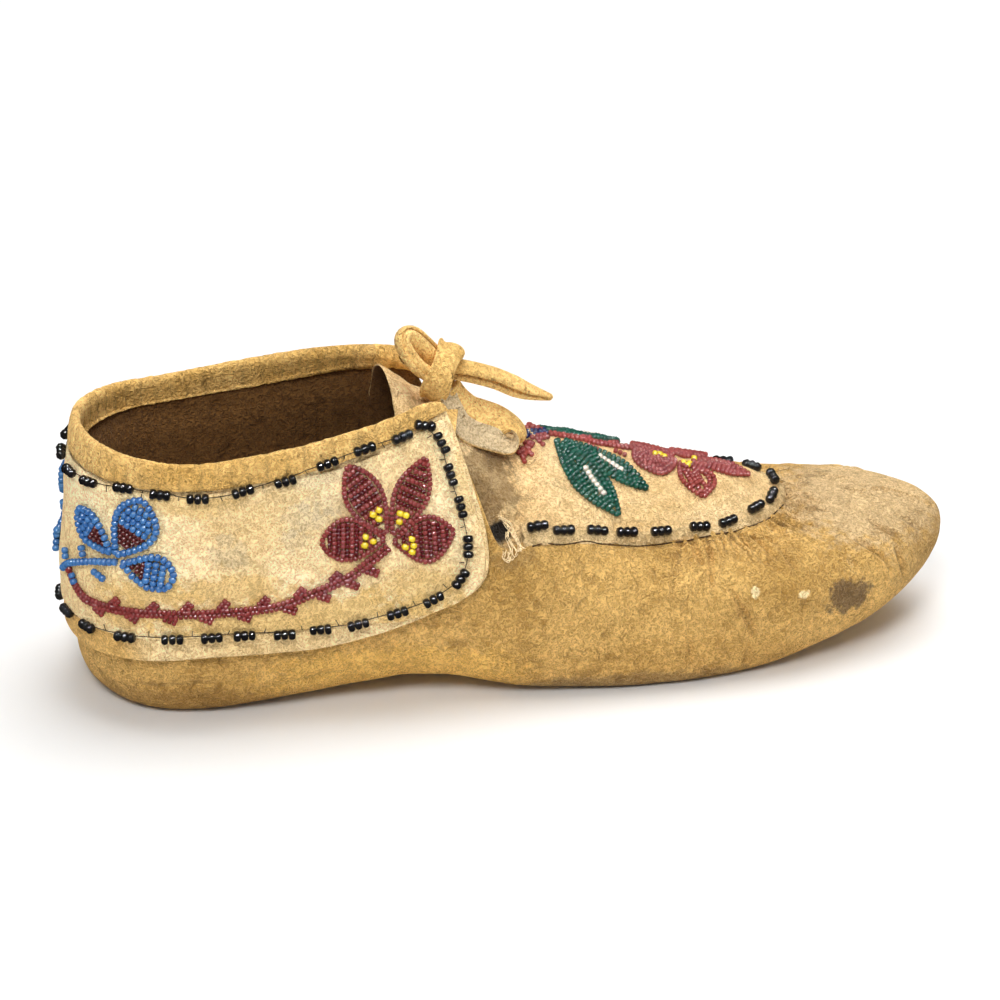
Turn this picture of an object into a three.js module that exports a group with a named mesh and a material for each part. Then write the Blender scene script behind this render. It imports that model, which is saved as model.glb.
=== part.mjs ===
// A soft-soled hide moccasin with a puckered toe, an inset vamp, a tongue and a turned-down cuff, which is
// tied by a thong.
// Units are millimetres. +X runs to the toe, +Y to the outer side of the foot, and +Z up from the floor.
// Places are written as [along, half, height]: from the heel's back, off the centre line and above the floor.
import * as THREE from "three";
import { mergeVertices } from "three/addons/utils/BufferGeometryUtils.js";

// Driving dimensions of the last.
const LENGTH = 254;
const HEEL_HALF = 31.5;
const BALL_AT = 172;
const BALL_HALF = 45;
const SWING = 4.5;
const SWING_FROM = 92;
const HEEL_POLE = 32;
const TOE_POLE = 196;

// Thicknesses of the hides, and the gap that is left between two layers.
const HIDE = 2;
const VAMP_HIDE = 1.8;
const VAMP_PROUD = 0.8;
const SEAM_SHARE = 0.02;
const TONGUE_HIDE = 1.6;
const CUFF_HIDE = 1.4;
const PANEL_HIDE = 0.8;
const BINDING_HIDE = 1;
const GAP = 0.35;

// Steps by which a place on a curve is found by halving, the step along the meridians that shows a slope, and
// the distance within which two vertices are one.
const HALVINGS = 24;
const NEARBY = 0.1;
const SAME_PLACE = 1e-3;

// The middle of the whole shoe's box, in the shoe's own [along, half].
const ORIGIN = new THREE.Vector2(125.2, -0.95);

// Colours of the smoked hide and of the paler, cleaner hides.
const COLOURS = { smoked: 0xb08a4e, golden: 0xc39c5c, cream: 0xd9bf8f, pale: 0xe0cda6 };

// Round ends of the outline: a circle at the heel, and half an ellipse from the ball to the toe.
const radians = THREE.MathUtils.degToRad;
const heel = (turn, half) => [HEEL_HALF - half * Math.cos(radians(turn)), half * Math.sin(radians(turn))];
const toe = (turn) => [
  BALL_AT + (LENGTH - BALL_AT) * Math.sin(radians(turn)),
  BALL_HALF * Math.cos(radians(turn)),
];

// Meridians: lines up the shoe's skin, from the middle of the sole round its edge and up to the rim.
// tread is the edge of the flat sole, and lift raises it on the inner and the outer side. belly is the widest
// place, shoulder a control point that rounds the wall, and rim the upper edge: the collar up to its corner,
// then the opening's front edge, and then the seam of the vamp. crest is where a meridian ends on the vamp.
const MERIDIANS = [
  { at: "heel back", steps: 3, tread: heel(0, 21), lift: [0, 0],
    belly: [...heel(0, HEEL_HALF), 17], shoulder: [...heel(0, 31), 48], rim: [...heel(0, 27.4), 78.8] },
  { at: "heel corner", steps: 3, tread: heel(30, 21.5), lift: [0, 0],
    belly: [...heel(30, HEEL_HALF), 17], shoulder: [...heel(30, 31), 48], rim: [...heel(30, 27.8), 78.2] },
  { at: "heel quarter", steps: 3, tread: heel(60, 22.5), lift: [0, 0],
    belly: [...heel(60, 31.8), 17], shoulder: [...heel(60, 31.4), 48], rim: [...heel(60, 28.8), 77.2] },
  { at: "heel side", steps: 4, tread: [33, 23], lift: [0, 0],
    belly: [33, 32.2, 17.5], shoulder: [33, 32, 48], rim: [32, 30, 76.8] },
  { at: "ankle", steps: 3, tread: [62, 24], lift: [2.5, 0.3],
    belly: [62.5, 34, 19.5], shoulder: [62.5, 34.6, 48], rim: [61, 30, 79.6] },
  { at: "instep", steps: 3, tread: [86, 27.5], lift: [6, 1],
    belly: [86, 36.8, 21.5], shoulder: [85.5, 38.5, 51], rim: [84, 25, 82.4] },
  { at: "collar corner", steps: 2, tread: [102, 30.5], lift: [5.5, 1],
    belly: [102, 38.8, 21], shoulder: [102, 40, 57], rim: [100.5, 16.5, 82.5] },
  { at: "front edge top", steps: 2, tread: [107, 31.8], lift: [4.5, 0.8],
    belly: [107, 39.6, 20.5], shoulder: [107, 40.6, 50], rim: [105.5, 25, 72] },
  { at: "front edge", steps: 2, tread: [111, 32.6], lift: [3.5, 0.6],
    belly: [111, 40.2, 20], shoulder: [110.5, 41.2, 43], rim: [109, 33.5, 59] },
  { at: "front edge foot", steps: 2, tread: [115, 33.4], lift: [2.6, 0.4],
    belly: [115, 40.9, 19.5], shoulder: [115, 42, 35.5], rim: [112.5, 38.6, 48.3] },
  { at: "vamp corner", steps: 4, tread: [121.5, 34.8], lift: [1.5, 0.2],
    belly: [121.5, 41.8, 19], shoulder: [121, 43, 35], rim: [119.8, 37.6, 46.4], crest: [126, 0, 65] },
  { at: "vamp side", steps: 4, tread: [147, 38], lift: [0, 0],
    belly: [148, 44.3, 18], shoulder: [147, 44.8, 34.5], rim: [146, 33.6, 41.8], crest: [146, 0, 58.8] },
  { at: "ball", steps: 3, tread: [170, 38.5], lift: [0, 0],
    belly: [...toe(0), 18], shoulder: [170, 44.5, 33.5], rim: [166.5, 29.8, 38.8], crest: [165, 0, 52.8] },
  { at: "toe side", steps: 3, tread: [189, 34.5], lift: [0.5, 0.5],
    belly: [...toe(20), 19.5], shoulder: [197, 40.5, 34.5], rim: [182.5, 25.8, 37.4],
    crest: [177, 0, 49.8] },
  { at: "toe corner", steps: 3, tread: [202, 26.5], lift: [2.5, 2.5],
    belly: [...toe(40), 21.5], shoulder: [221, 33, 36.5], rim: [194, 20, 37], crest: [185, 0, 47.6] },
  { at: "toe quarter", steps: 2, tread: [209, 18], lift: [5, 5],
    belly: [...toe(58), 24], shoulder: [239, 23, 38], rim: [202, 13, 37.4], crest: [188, 0, 46.8] },
  { at: "toe edge", steps: 2, tread: [213, 9.2], lift: [6.5, 6.5],
    belly: [...toe(74), 25.5], shoulder: [248.5, 11.8, 38.5], rim: [206.2, 6.5, 38],
    crest: [188, 0, 46.8] },
  { at: "toe tip", steps: 0, tread: [214.5, 0], lift: [7, 7],
    belly: [...toe(90), 26.5], shoulder: [252, 0, 38.5], rim: [207.5, 0, 38.3], crest: [188, 0, 46.8] },
];
const TIP = MERIDIANS.length - 1;
const LAP = 2 * TIP;
const rowOf = (at) => MERIDIANS.findIndex((row) => row.at === at);
const COLLAR_CORNER = rowOf("collar corner");
const EDGE_FOOT = rowOf("front edge foot");
const VAMP_CORNER = rowOf("vamp corner");

// Shares of a lift that reach the belly and the middle of the sole, and the share of the way from the
// seam to the crest at which the vamp is rounded.
const BELLY_LIFT = 1 / 3;
const ARCH_LIFT = 0.5;
const VAMP_CROWN = 0.62;

// The turned-down cuff: its hem by meridian from the heel back, how far and how fast the hem flares off the
// wall, and the meridians between which its lower front corner is rounded.
const HEM_HEIGHTS = [19.6, 18.8, 20, 21.2, 21.6, 28.4, 33.6, 36];
const HEM_FLARE = { off: 1.2, power: 1.5 };
const CUFF_CORNER = { from: 6.2, to: 8.2, share: 0.3 };
const CUFF_COLUMNS = 52;

// The panel that is sewn on the cuff keeps a margin at the hem and at each front edge, in shares of the cuff.
const PANEL = { front: 0.935, hem: 0.13, under: 0.015, rows: 6 };

// The binding folds over the collar: the share of the cuff where its legs end, at the heel and narrowing to
// the front, its rise over the hides, its slack inside the shoe, and the turns of its fold in degrees.
const BINDING = { hem: 0.885, narrowing: 0.06, crown: 2.8, slack: 0.75, fold: [0, 50, 130, 180] };

// Sections of the tongue, from its lap under the vamp to its hemmed top. crown rounds its arch over the foot.
const TONGUE = [
  { along: 132, crest: 60.6, crown: 11.5, edge: [32.5, 42.6] },
  { along: 126, crest: 62.6, crown: 12, edge: [34.2, 43] },
  { along: 118, crest: 67.4, crown: 15.5, edge: [35.2, 43.6] },
  { along: 109, crest: 73.6, crown: 18.5, edge: [33, 46] },
  { along: 99, crest: 81.2, crown: 19, edge: [30, 51] },
  { along: 89.5, crest: 88.4, crown: 18, edge: [26.5, 58] },
];

// The thong's route: a bar from cuff to cuff over the tongue, a bow of two loops, and one free end.
// Its places are [along, side, height], with side positive towards the outer side of the foot.
const THONG = { wide: 2.5, thin: 1.4, quarters: 4 };
const KNOT = { centre: [105.8, -5, 86.4], radii: [6.2, 5.2, 6], tilt: -0.5, round: 12, rings: 8 };
const ROUTES = {
  thong_bar: [[108.2, -21, 74.2], [107.8, -14, 77], [107.4, -5, 78.2], [107.6, 5, 77.5], [107.8, 14, 76],
    [107.9, 21, 73.6]],
  thong_loop_upper: [[99.2, -8.2, 87.2], [96.8, -8, 89.4], [94, -7, 92.4], [92.2, -6, 96], [92.6, -4, 98.8],
    [95.6, -2.2, 99.7], [99.6, -1.4, 98.6], [102.8, -1.4, 96.2], [104.8, -2.4, 93.2]],
  thong_loop_lower: [[110.4, -5.6, 81.6], [113.4, -4.6, 78.4], [117.4, -4.4, 76.4], [121.8, -4.8, 75],
    [125.6, -6, 72.6], [127.2, -7.6, 70], [125.4, -9.4, 68.4], [121.6, -10.6, 67.8],
    [117.6, -11, 69.6], [114.8, -10.8, 73], [113, -10, 77.8], [111.6, -8.4, 82.3]],
  thong_end: [[112.6, -3.6, 86.2], [117, -2.8, 84.4], [121.4, -2.2, 82.4], [126, -1.8, 79.8],
    [131, -1.4, 77], [138, -1, 74]],
};

function swing(along) {
  const share = Math.max(0, (along - SWING_FROM) / (LENGTH - SWING_FROM));
  return -SWING * share * share;
}

// A place on the inner side (-1) or the outer side (1) of the foot, in the part's own frame.
function place([along, half, height = 0], side) {
  return new THREE.Vector3(along - ORIGIN.x, side * half + swing(along) - ORIGIN.y, height);
}

// A closed curve through one column of the meridians, down the inner side to the toe and up the outer side.
function railOf(column) {
  const inner = MERIDIANS.map((row) => place(column(row, 0), -1));
  const outer = MERIDIANS.map((row) => place(column(row, 1), 1)).slice(1, -1).reverse();
  const curve = new THREE.CatmullRomCurve3([...inner, ...outer], true, "catmullrom", 0.5);
  return (q) => curve.getPoint((((q % LAP) + LAP) % LAP) / LAP);
}

const tread = railOf((row, side) => [...row.tread, row.lift[side]]);
const belly = railOf(({ belly: [along, half, height], lift }, side) => [
  along,
  half,
  height + BELLY_LIFT * lift[side],
]);
const shoulder = railOf((row) => row.shoulder);
const rim = railOf((row) => row.rim);
const crestLine = railOf((row) => row.crest ?? MERIDIANS[VAMP_CORNER].crest);
const crestEnd = place(MERIDIANS[TIP].crest, 1);

// The top of the vamp, which ends in one point that the toe's meridians share.
function crest(q) {
  const p = crestLine(q);
  return p.x < crestEnd.x ? p : crestEnd.clone();
}

// The middle of the sole under a meridian, drawn in to a pole at the heel and at the toe.
function spine(q) {
  const along = THREE.MathUtils.clamp(tread(q).x + ORIGIN.x, HEEL_POLE, TOE_POLE);
  return place([along, 0, (ARCH_LIFT * (tread(q).z + tread(-q).z)) / 2], 1);
}

function bend(start, control, end, t) {
  return new THREE.QuadraticBezierCurve3(start, control, end).getPoint(t);
}

// The outer skin of the bottom hide at meridian q: t runs 0 to 1 across the sole, to 2 round its edge, and
// to 3 up to the rim.
function skin(q, t) {
  if (t <= 1) {
    const p = spine(q).lerp(tread(q), t);
    p.z = Math.max(0, p.z);
    return p;
  }
  if (t <= 2) {
    const from = tread(q);
    const to = belly(q);
    const turn = ((t - 1) * Math.PI) / 2;
    const height = THREE.MathUtils.lerp(Math.max(0, from.z), to.z, 1 - Math.cos(turn));
    return from.lerp(to, Math.sin(turn)).setZ(height);
  }
  return bend(belly(q), shoulder(q), rim(q), t - 2);
}

// The skin of the wall at a height, found by halving, and a place at a distance off it.
function wall(q, height) {
  let low = 2;
  let high = 3;
  for (let i = 0; i < HALVINGS; i += 1) {
    const mid = (low + high) / 2;
    if (skin(q, mid).z < height) low = mid;
    else high = mid;
  }
  return skin(q, low);
}

function offWall(q, height, distance) {
  const here = wall(q, height);
  const along = wall(q + NEARBY, height).sub(wall(q - NEARBY, height));
  const up = here.clone().sub(wall(q, height - 1));
  return here.addScaledVector(along.cross(up).normalize(), distance);
}

// Meridian numbers that follow the table's own steps between two of its rows.
function stepsBetween(from, to) {
  const numbers = [];
  for (let row = from; row < to; row += 1) {
    const { steps } = MERIDIANS[row];
    for (let i = 0; i < steps; i += 1) numbers.push(row + i / steps);
  }
  return [...numbers, to];
}

// A sheet over a grid of points: rows run one way, and each row holds the points the other way.
function sheet(rows) {
  const wide = rows[0].length;
  const triangles = [];
  for (let i = 0; i + 1 < rows.length; i += 1) {
    for (let j = 0; j + 1 < wide; j += 1) {
      const a = i * wide + j;
      const b = a + wide;
      triangles.push(a, b, b + 1, a, b + 1, a + 1);
    }
  }
  return new THREE.BufferGeometry().setFromPoints(rows.flat()).setIndex(triangles);
}

// A solid of hide round a sheet, from a depth under it to a height over it, with its cut edges closed.
function hideSolid(surface, under, over) {
  const merged = mergeVertices(surface, SAME_PLACE);
  const index = [...merged.index.array];
  const kept = [];
  for (let i = 0; i < index.length; i += 3) {
    const [a, b, c] = index.slice(i, i + 3);
    if (a !== b && b !== c && c !== a) kept.push([a, b, c]);
  }
  merged.setIndex(kept.flat());
  merged.computeVertexNormals();
  const { position, normal } = merged.attributes;
  const points = [];
  for (const depth of [over, -under]) {
    for (let i = 0; i < position.count; i += 1) {
      const out = new THREE.Vector3().fromBufferAttribute(normal, i).multiplyScalar(depth);
      points.push(new THREE.Vector3().fromBufferAttribute(position, i).add(out));
    }
  }
  const edges = new Set(kept.flatMap(([a, b, c]) => [`${a},${b}`, `${b},${c}`, `${c},${a}`]));
  const n = position.count;
  const triangles = kept.flatMap(([a, b, c]) => [a, b, c, a + n, c + n, b + n]);
  for (const edge of edges) {
    const [a, b] = edge.split(",").map(Number);
    if (!edges.has(`${b},${a}`)) triangles.push(b, a, a + n, b, a + n, b + n);
  }
  return new THREE.BufferGeometry().setFromPoints(points).setIndex(triangles);
}

// A geometry of positions alone, with its shared vertices merged, so that it is closed.
function bare(geometry) {
  geometry.deleteAttribute("normal");
  geometry.deleteAttribute("uv");
  return mergeVertices(geometry, SAME_PLACE);
}

function named(name, geometry, color) {
  const material = new THREE.MeshStandardMaterial({ color, roughness: 0.9, metalness: 0 });
  const mesh = new THREE.Mesh(geometry, material);
  mesh.name = name;
  return mesh;
}

// The bottom: one hide that is the sole, the sides, the heel and the toe.
function soleAndSides() {
  const heights = [0, 0.5, 1, 1.25, 1.5, 1.75, 2, 2.2, 2.4, 2.6, 2.8, 3];
  const inner = stepsBetween(0, TIP);
  const round = [...inner, ...inner.slice(0, -1).reverse().map((q) => LAP - q)];
  const rows = round.map((q) => heights.map((t) => skin(q, t)));
  return named("sole_and_sides", hideSolid(sheet(rows), HIDE, 0), COLOURS.smoked);
}

// The vamp: the plug on top of the foot, set into the gathered rim of the bottom and a little proud of it.
function vampPoint(q, t) {
  const low = rim(q);
  const high = crest(q);
  const control = low.clone().lerp(high, VAMP_CROWN).setZ(high.z);
  return bend(low, control, high, t);
}

function vamp() {
  const inner = stepsBetween(VAMP_CORNER, TIP);
  const round = [...inner, ...inner.slice(0, -1).reverse().map((q) => LAP - q)];
  const rise = [SEAM_SHARE, 0.2, 0.4, 0.6, 0.8, 1];
  const rows = round.map((q) => rise.map((t) => vampPoint(q, t)));
  return named("vamp", hideSolid(sheet(rows), VAMP_HIDE - VAMP_PROUD, VAMP_PROUD), COLOURS.cream);
}

// The tongue: an arch over the instep, lapped under the vamp and tucked inside the ankle.
function tongue() {
  const arch = [0, 0.15, 0.3, 0.45, 0.6, 0.8, 1];
  const rows = TONGUE.map(({ along, crest: height, crown, edge }) => {
    const side = (hand) => {
      const ends = [[along, ...edge], [along, crown, height], [along, 0, height]];
      return arch.map((t) => bend(...ends.map((end) => place(end, hand)), t));
    };
    return [...side(-1), ...side(1).slice(0, -1).reverse()];
  });
  return named("tongue", hideSolid(sheet(rows.reverse()), TONGUE_HIDE, 0), COLOURS.cream);
}

// The cuff's grid: a runs from the outer front edge round the heel to the inner one, b from the hem to the
// collar.
const hemLine = new THREE.SplineCurve(HEM_HEIGHTS.map((height, row) => new THREE.Vector2(row, height)));
const hemHeight = (a) => hemLine.getPoint((Math.abs(a) * CUFF_CORNER.from) / (HEM_HEIGHTS.length - 1)).y;

function frontEdge(b) {
  const height = THREE.MathUtils.lerp(hemHeight(1), rim(COLLAR_CORNER).z, b);
  let low = COLLAR_CORNER;
  let high = EDGE_FOOT;
  for (let i = 0; i < HALVINGS; i += 1) {
    const mid = (low + high) / 2;
    if (rim(mid).z > height) low = mid;
    else high = mid;
  }
  const turn = Math.min(1, b / CUFF_CORNER.share);
  const corner = Math.sqrt(1 - (1 - turn) ** 2);
  return Math.min(low, THREE.MathUtils.lerp(CUFF_CORNER.from, CUFF_CORNER.to, corner));
}

function cuffPoint(a, b, lift) {
  const height = THREE.MathUtils.lerp(hemHeight(a), rim(a * COLLAR_CORNER).z, b);
  return offWall(a * frontEdge(b), height, lift + HEM_FLARE.off * (1 - b) ** HEM_FLARE.power);
}

function shares(from, to, count) {
  return Array.from({ length: count + 1 }, (_, i) => from + ((to - from) * i) / count);
}

// Where the binding's leg ends and half of its width, as heights in the cuff's grid.
function bindingLeg(a) {
  const hem = BINDING.hem + BINDING.narrowing * a * a;
  return [hem, (hem + 1) / 2];
}

function cuff() {
  const heights = (a) => [0, 0.08, 0.2, 0.39, 0.58, 0.76, ...bindingLeg(a), 1];
  const rows = shares(-1, 1, CUFF_COLUMNS).map((a) => heights(a).map((b) => cuffPoint(a, b, GAP)));
  return named("cuff", hideSolid(sheet(rows), 0, CUFF_HIDE), COLOURS.pale);
}

// The beaded panel: a second, cleaner hide on the cuff.
function cuffPanel() {
  const lift = GAP + CUFF_HIDE + GAP;
  const columns = shares(-PANEL.front, PANEL.front, CUFF_COLUMNS);
  const heights = (a) => shares(PANEL.hem, bindingLeg(a)[0] - PANEL.under, PANEL.rows);
  const rows = columns.map((a) => heights(a).map((b) => cuffPoint(a, b, lift)));
  return named("cuff_panel", hideSolid(sheet(rows), 0, PANEL_HIDE), COLOURS.cream);
}

// The collar's binding: a strip folded over the tops of the wall and the cuff.
function collarBinding() {
  const half = BINDING_HIDE / 2;
  const out = GAP + CUFF_HIDE + GAP + half;
  const into = HIDE + BINDING.slack + half;
  const middle = (out - into) / 2;
  const radius = (out + into) / 2;
  const rows = shares(-1, 1, CUFF_COLUMNS).map((a) => {
    const leg = bindingLeg(a);
    const up = cuffPoint(a, 1, 0).sub(cuffPoint(a, leg[1], 0)).normalize();
    const crown = (turn) => {
      const over = cuffPoint(a, 1, middle + radius * Math.cos(radians(turn)));
      return over.addScaledVector(up, BINDING.crown * Math.sin(radians(turn)));
    };
    return [
      ...leg.map((b) => cuffPoint(a, b, out)),
      ...BINDING.fold.map(crown),
      ...[...leg].reverse().map((b) => cuffPoint(a, b, -into)),
    ];
  });
  return named("collar_binding", hideSolid(sheet(rows), half, half), COLOURS.golden);
}

// The thong: a rolled strip of hide. A route is swept with an oval section.
function thongPlace([along, side, height]) {
  return new THREE.Vector3(along - ORIGIN.x, side - ORIGIN.y, height);
}

function thong(name, route) {
  const section = new THREE.Shape().absellipse(0, 0, THONG.wide, THONG.thin, 0, 2 * Math.PI);
  const swept = new THREE.ExtrudeGeometry(section, {
    curveSegments: THONG.quarters,
    steps: 2 * (route.length - 1),
    extrudePath: new THREE.CatmullRomCurve3(route.map(thongPlace)),
  });
  return named(name, bare(swept), COLOURS.golden);
}

function thongKnot() {
  const ball = new THREE.SphereGeometry(1, KNOT.round, KNOT.rings).scale(...KNOT.radii).rotateY(KNOT.tilt);
  const { x, y, z } = thongPlace(KNOT.centre);
  return named("thong_knot", bare(ball.translate(x, y, z)), COLOURS.golden);
}

// The shoe: every piece in one frame, its origin under the middle of the sole.
const moccasin = new THREE.Group();
moccasin.add(soleAndSides(), vamp(), tongue(), cuff(), cuffPanel(), collarBinding());
moccasin.add(thongKnot());
moccasin.add(...Object.entries(ROUTES).map(([name, route]) => thong(name, route)));

export default moccasin;
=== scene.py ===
# A beaded hide moccasin, dressed round the frame of its solids. Everything is in metres, in that frame.
import math
import random

import bpy
import numpy as np
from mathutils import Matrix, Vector, noise
from mathutils.bvhtree import BVHTree
from mathutils.kdtree import KDTree


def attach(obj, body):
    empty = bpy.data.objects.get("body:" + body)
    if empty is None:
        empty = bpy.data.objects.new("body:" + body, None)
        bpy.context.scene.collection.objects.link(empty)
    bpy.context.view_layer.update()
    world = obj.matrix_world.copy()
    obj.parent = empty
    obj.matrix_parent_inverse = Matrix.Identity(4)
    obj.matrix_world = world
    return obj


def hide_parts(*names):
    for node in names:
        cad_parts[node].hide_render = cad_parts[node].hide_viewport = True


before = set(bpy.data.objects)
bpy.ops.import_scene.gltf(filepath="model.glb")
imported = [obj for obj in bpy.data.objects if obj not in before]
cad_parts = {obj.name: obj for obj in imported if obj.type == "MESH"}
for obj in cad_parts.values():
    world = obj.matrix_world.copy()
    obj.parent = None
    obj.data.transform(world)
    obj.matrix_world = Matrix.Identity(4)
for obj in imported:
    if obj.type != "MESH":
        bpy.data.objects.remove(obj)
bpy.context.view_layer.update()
bpy.ops.object.select_all(action="DESELECT")


# The view: the shoe stands on a pale seamless floor and is seen from its inner side, a little from the heel
# and from above. A wide soft light hangs over it, a weaker one stands before it, and the room is white.
VIEW_TURN = math.radians(-14)
VIEW_TILT = math.radians(25)
VIEW_DISTANCE = 1.25
VIEW_CENTRE = Vector((-0.0026, -0.0002, 0.044))
VIEW_LENS = 158.4
SENSOR_WIDTH = 36
ROOM_COLOUR = (1, 0.99, 0.975, 1)
ROOM_STRENGTH = 0.26
GLINT_SIZE = 0.16
GLINT_POWER = 90
FLOOR_SIZE = 9
FLOOR_COLOUR = (0.89, 0.89, 0.885, 1)

to_viewer = Vector((
    math.sin(VIEW_TURN) * math.cos(VIEW_TILT),
    -math.cos(VIEW_TURN) * math.cos(VIEW_TILT),
    math.sin(VIEW_TILT),
))
bpy.ops.object.camera_add(
    location=VIEW_CENTRE + VIEW_DISTANCE * to_viewer,
    rotation=(math.pi / 2 - VIEW_TILT, 0, VIEW_TURN),
)
camera = bpy.context.object
camera.data.lens = VIEW_LENS
camera.data.sensor_width = SENSOR_WIDTH
bpy.context.scene.camera = camera
bpy.context.scene.view_settings.view_transform = "Standard"

room = bpy.data.worlds.new("white_room")
room.use_nodes = True
backdrop = room.node_tree.nodes["Background"].inputs
backdrop["Color"].default_value = ROOM_COLOUR
backdrop["Strength"].default_value = ROOM_STRENGTH
room.cycles_visibility.glossy = False
bpy.context.scene.world = room


def soft_light(name, place, size, power, glints_only=False):
    """A square light that faces the shoe. Glass mirrors only the glint lights, which light nothing else."""
    bpy.ops.object.light_add(type="AREA", location=place)
    light = bpy.context.object
    light.name = name
    light.data.size = size
    light.data.energy = power
    light.rotation_euler = (VIEW_CENTRE - Vector(place)).to_track_quat("-Z", "Y").to_euler()
    light.visible_diffuse = not glints_only
    light.visible_glossy = glints_only


def new_finish(name, settings):
    """A material with some settings of its surface, and that surface's shader."""
    finish = bpy.data.materials.new(name)
    finish.use_nodes = True
    shader = finish.node_tree.nodes["Principled BSDF"]
    for socket, value in settings.items():
        shader.inputs[socket].default_value = value
    return finish, shader


soft_light("overhead_light", place=(0.45, 0.35, 2.2), size=1.9, power=47)
soft_light("front_light", place=(-0.65, -1.45, 1.7), size=0.7, power=24)
soft_light("left_glint", (-0.8, -0.9, 1.3), GLINT_SIZE, GLINT_POWER, glints_only=True)
soft_light("right_glint", (0.5, -0.8, 1.5), GLINT_SIZE, GLINT_POWER, glints_only=True)

bpy.ops.mesh.primitive_plane_add(size=FLOOR_SIZE)
floor = bpy.context.object
floor.name = "floor"
floor.visible_glossy = False
paint = {"Base Color": FLOOR_COLOUR, "Roughness": 0.9, "Specular IOR Level": 0}
floor_paint, _ = new_finish("floor_paint", paint)
floor.data.materials.append(floor_paint)


# The thong: one strip of soft golden hide. It passes from cuff to cuff over the tongue and is tied in a bow
# of a rolled upper loop, a flat lower loop and one folded end, all held by the strip's own wrap at the knot.
HEEL_TO_MIDDLE = 125.2
CENTRE_LINE = 0.95
STRIP_THICK = 0.0013
LINE_STEP = 0.0011
ROLL_POINTS = 23
ROLL_TURN = (-90, 305)
ROLL_RADII = (0.0012, 0.0024)
ROLL_OVAL = (1.2, 0.85)
ROLL_THIN = 0.75
LOOSER = 0.3
LOOSER_FROM = 0.5
LOOSER_OVER = 0.12
LOOP_WIDE = 0.0088
LOOP_CUP = 0.0011
LOOP_PINCH = 0.26
CUP_POINTS = 9
END_WIDE = 0.0058
END_TAPER = 0.78
END_TAPER_FROM = 0.66
END_FOLD = np.array([
    (-0.5, -0.30), (-0.2, -0.27), (0.12, -0.25), (0.36, -0.2), (0.47, -0.02), (0.38, 0.2), (0.12, 0.27),
    (-0.2, 0.26), (-0.42, 0.14),
])
BAR_WIDE = 0.0055
BAR_CUP = -0.0004
BAR_ENDS = 0.3
KNOT_CENTRE = (105.4, -5.4, 87)
KNOT_RADII = (0.0080, 0.0062)
KNOT_STEPS = 40
KNOT_SLACK = 0.1
KNOT_ACROSS = Vector((0.87, -0.37, -0.33)).normalized()
KNOT_BAND = np.array([
    (-3.7, -1), (-4.2, 0), (-4.1, 0.7), (-3.6, 0.9), (-3.1, 0.5), (-2.6, 0.1), (-1.9, 0.3), (-0.8, 0.75),
    (0.8, 0.85), (2.3, 0.5), (3.3, -0.3), (3.5, -1.4), (2.6, -3.4), (0, -4), (-2.6, -3.4),
]) / 1000
UPPER_LOOP = [
    (104.6, -5.2, 86.2), (101.4, -7.4, 87.8), (98.3, -8.4, 90.2), (96, -8.2, 93), (94.2, -7.6, 96.2),
    (93.6, -6.6, 98.6), (94.8, -5.6, 99.6), (97, -4.8, 98), (99.8, -4.2, 94.9), (102.4, -4, 91.8),
    (104.6, -4, 89.4), (106.6, -4.2, 87.6),
]
LOWER_LOOP = [
    (108.1, -6.4, 83.1), (110.4, -6.2, 79.1), (113.4, -5.6, 76.1), (117, -5.2, 74.3), (120.4, -5.2, 72.7),
    (123.7, -5.8, 70.5), (125.7, -7.2, 68.4), (125.6, -8.8, 66.6), (122.9, -10.2, 65.6), (119.3, -10.8, 66.7),
    (112.6, -11.2, 69.7), (108.6, -11.2, 72.9), (106.5, -10.4, 77), (105.4, -9, 80.2), (105.6, -7.2, 83.1),
]
FREE_END = [
    (105.4, -4.6, 88.2), (109, -4.2, 87.4), (112.6, -3.6, 86.2), (117, -2.8, 84.4), (121.4, -2.2, 82.4),
    (126, -1.8, 79.8), (131, -1.4, 77), (138, -1, 74),
]
BAR = [
    (103.8, -21.4, 74.2), (105.2, -14, 76.8), (107, -5, 78.2), (107.6, 5, 77.5), (107.8, 14, 76),
    (107.9, 21, 73.6),
]


def thong_place(along, side, height):
    """A place of the thong's route, from millimetres off the heel's back, the centre line and the floor."""
    return (along - HEEL_TO_MIDDLE) / 1000, (side + CENTRE_LINE) / 1000, height / 1000


def smooth_line(points, step):
    """A smooth line through given points, as places about one step apart."""
    p = np.array(points, dtype=float)
    padded = np.vstack([2 * p[0] - p[1], p, 2 * p[-1] - p[-2]])
    line = []
    for a, b, c, d in zip(padded, padded[1:], padded[2:], padded[3:]):
        count = max(2, math.ceil(np.linalg.norm(c - b) / step))
        for s in np.arange(count) / count:
            bend = (2 * a - 5 * b + 4 * c - d) * s**2 + (3 * b - a - 3 * c + d) * s**3
            line.append(b + 0.5 * ((c - a) * s + bend))
    line.append(p[-1])
    return np.array(line)


def unit(vectors):
    vectors = np.asarray(vectors, dtype=float)
    return vectors / np.maximum(np.linalg.norm(vectors, axis=-1, keepdims=True), 1e-12)


def pick(piece):
    """The piece becomes the only one that the next operators work on."""
    bpy.ops.object.select_all(action="DESELECT")
    bpy.context.view_layer.objects.active = piece
    piece.select_set(True)


def new_piece(name, places, faces):
    """A new object from places and faces, with its faces turned outwards and smooth."""
    mesh = bpy.data.meshes.new(name)
    mesh.from_pydata(np.asarray(places).tolist(), [], faces)
    piece = bpy.data.objects.new(name, mesh)
    bpy.context.collection.objects.link(piece)
    pick(piece)
    bpy.ops.object.mode_set(mode="EDIT")
    bpy.ops.mesh.select_all(action="SELECT")
    bpy.ops.mesh.normals_make_consistent(inside=False)
    bpy.ops.object.mode_set(mode="OBJECT")
    bpy.ops.object.shade_smooth()
    return piece


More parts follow.
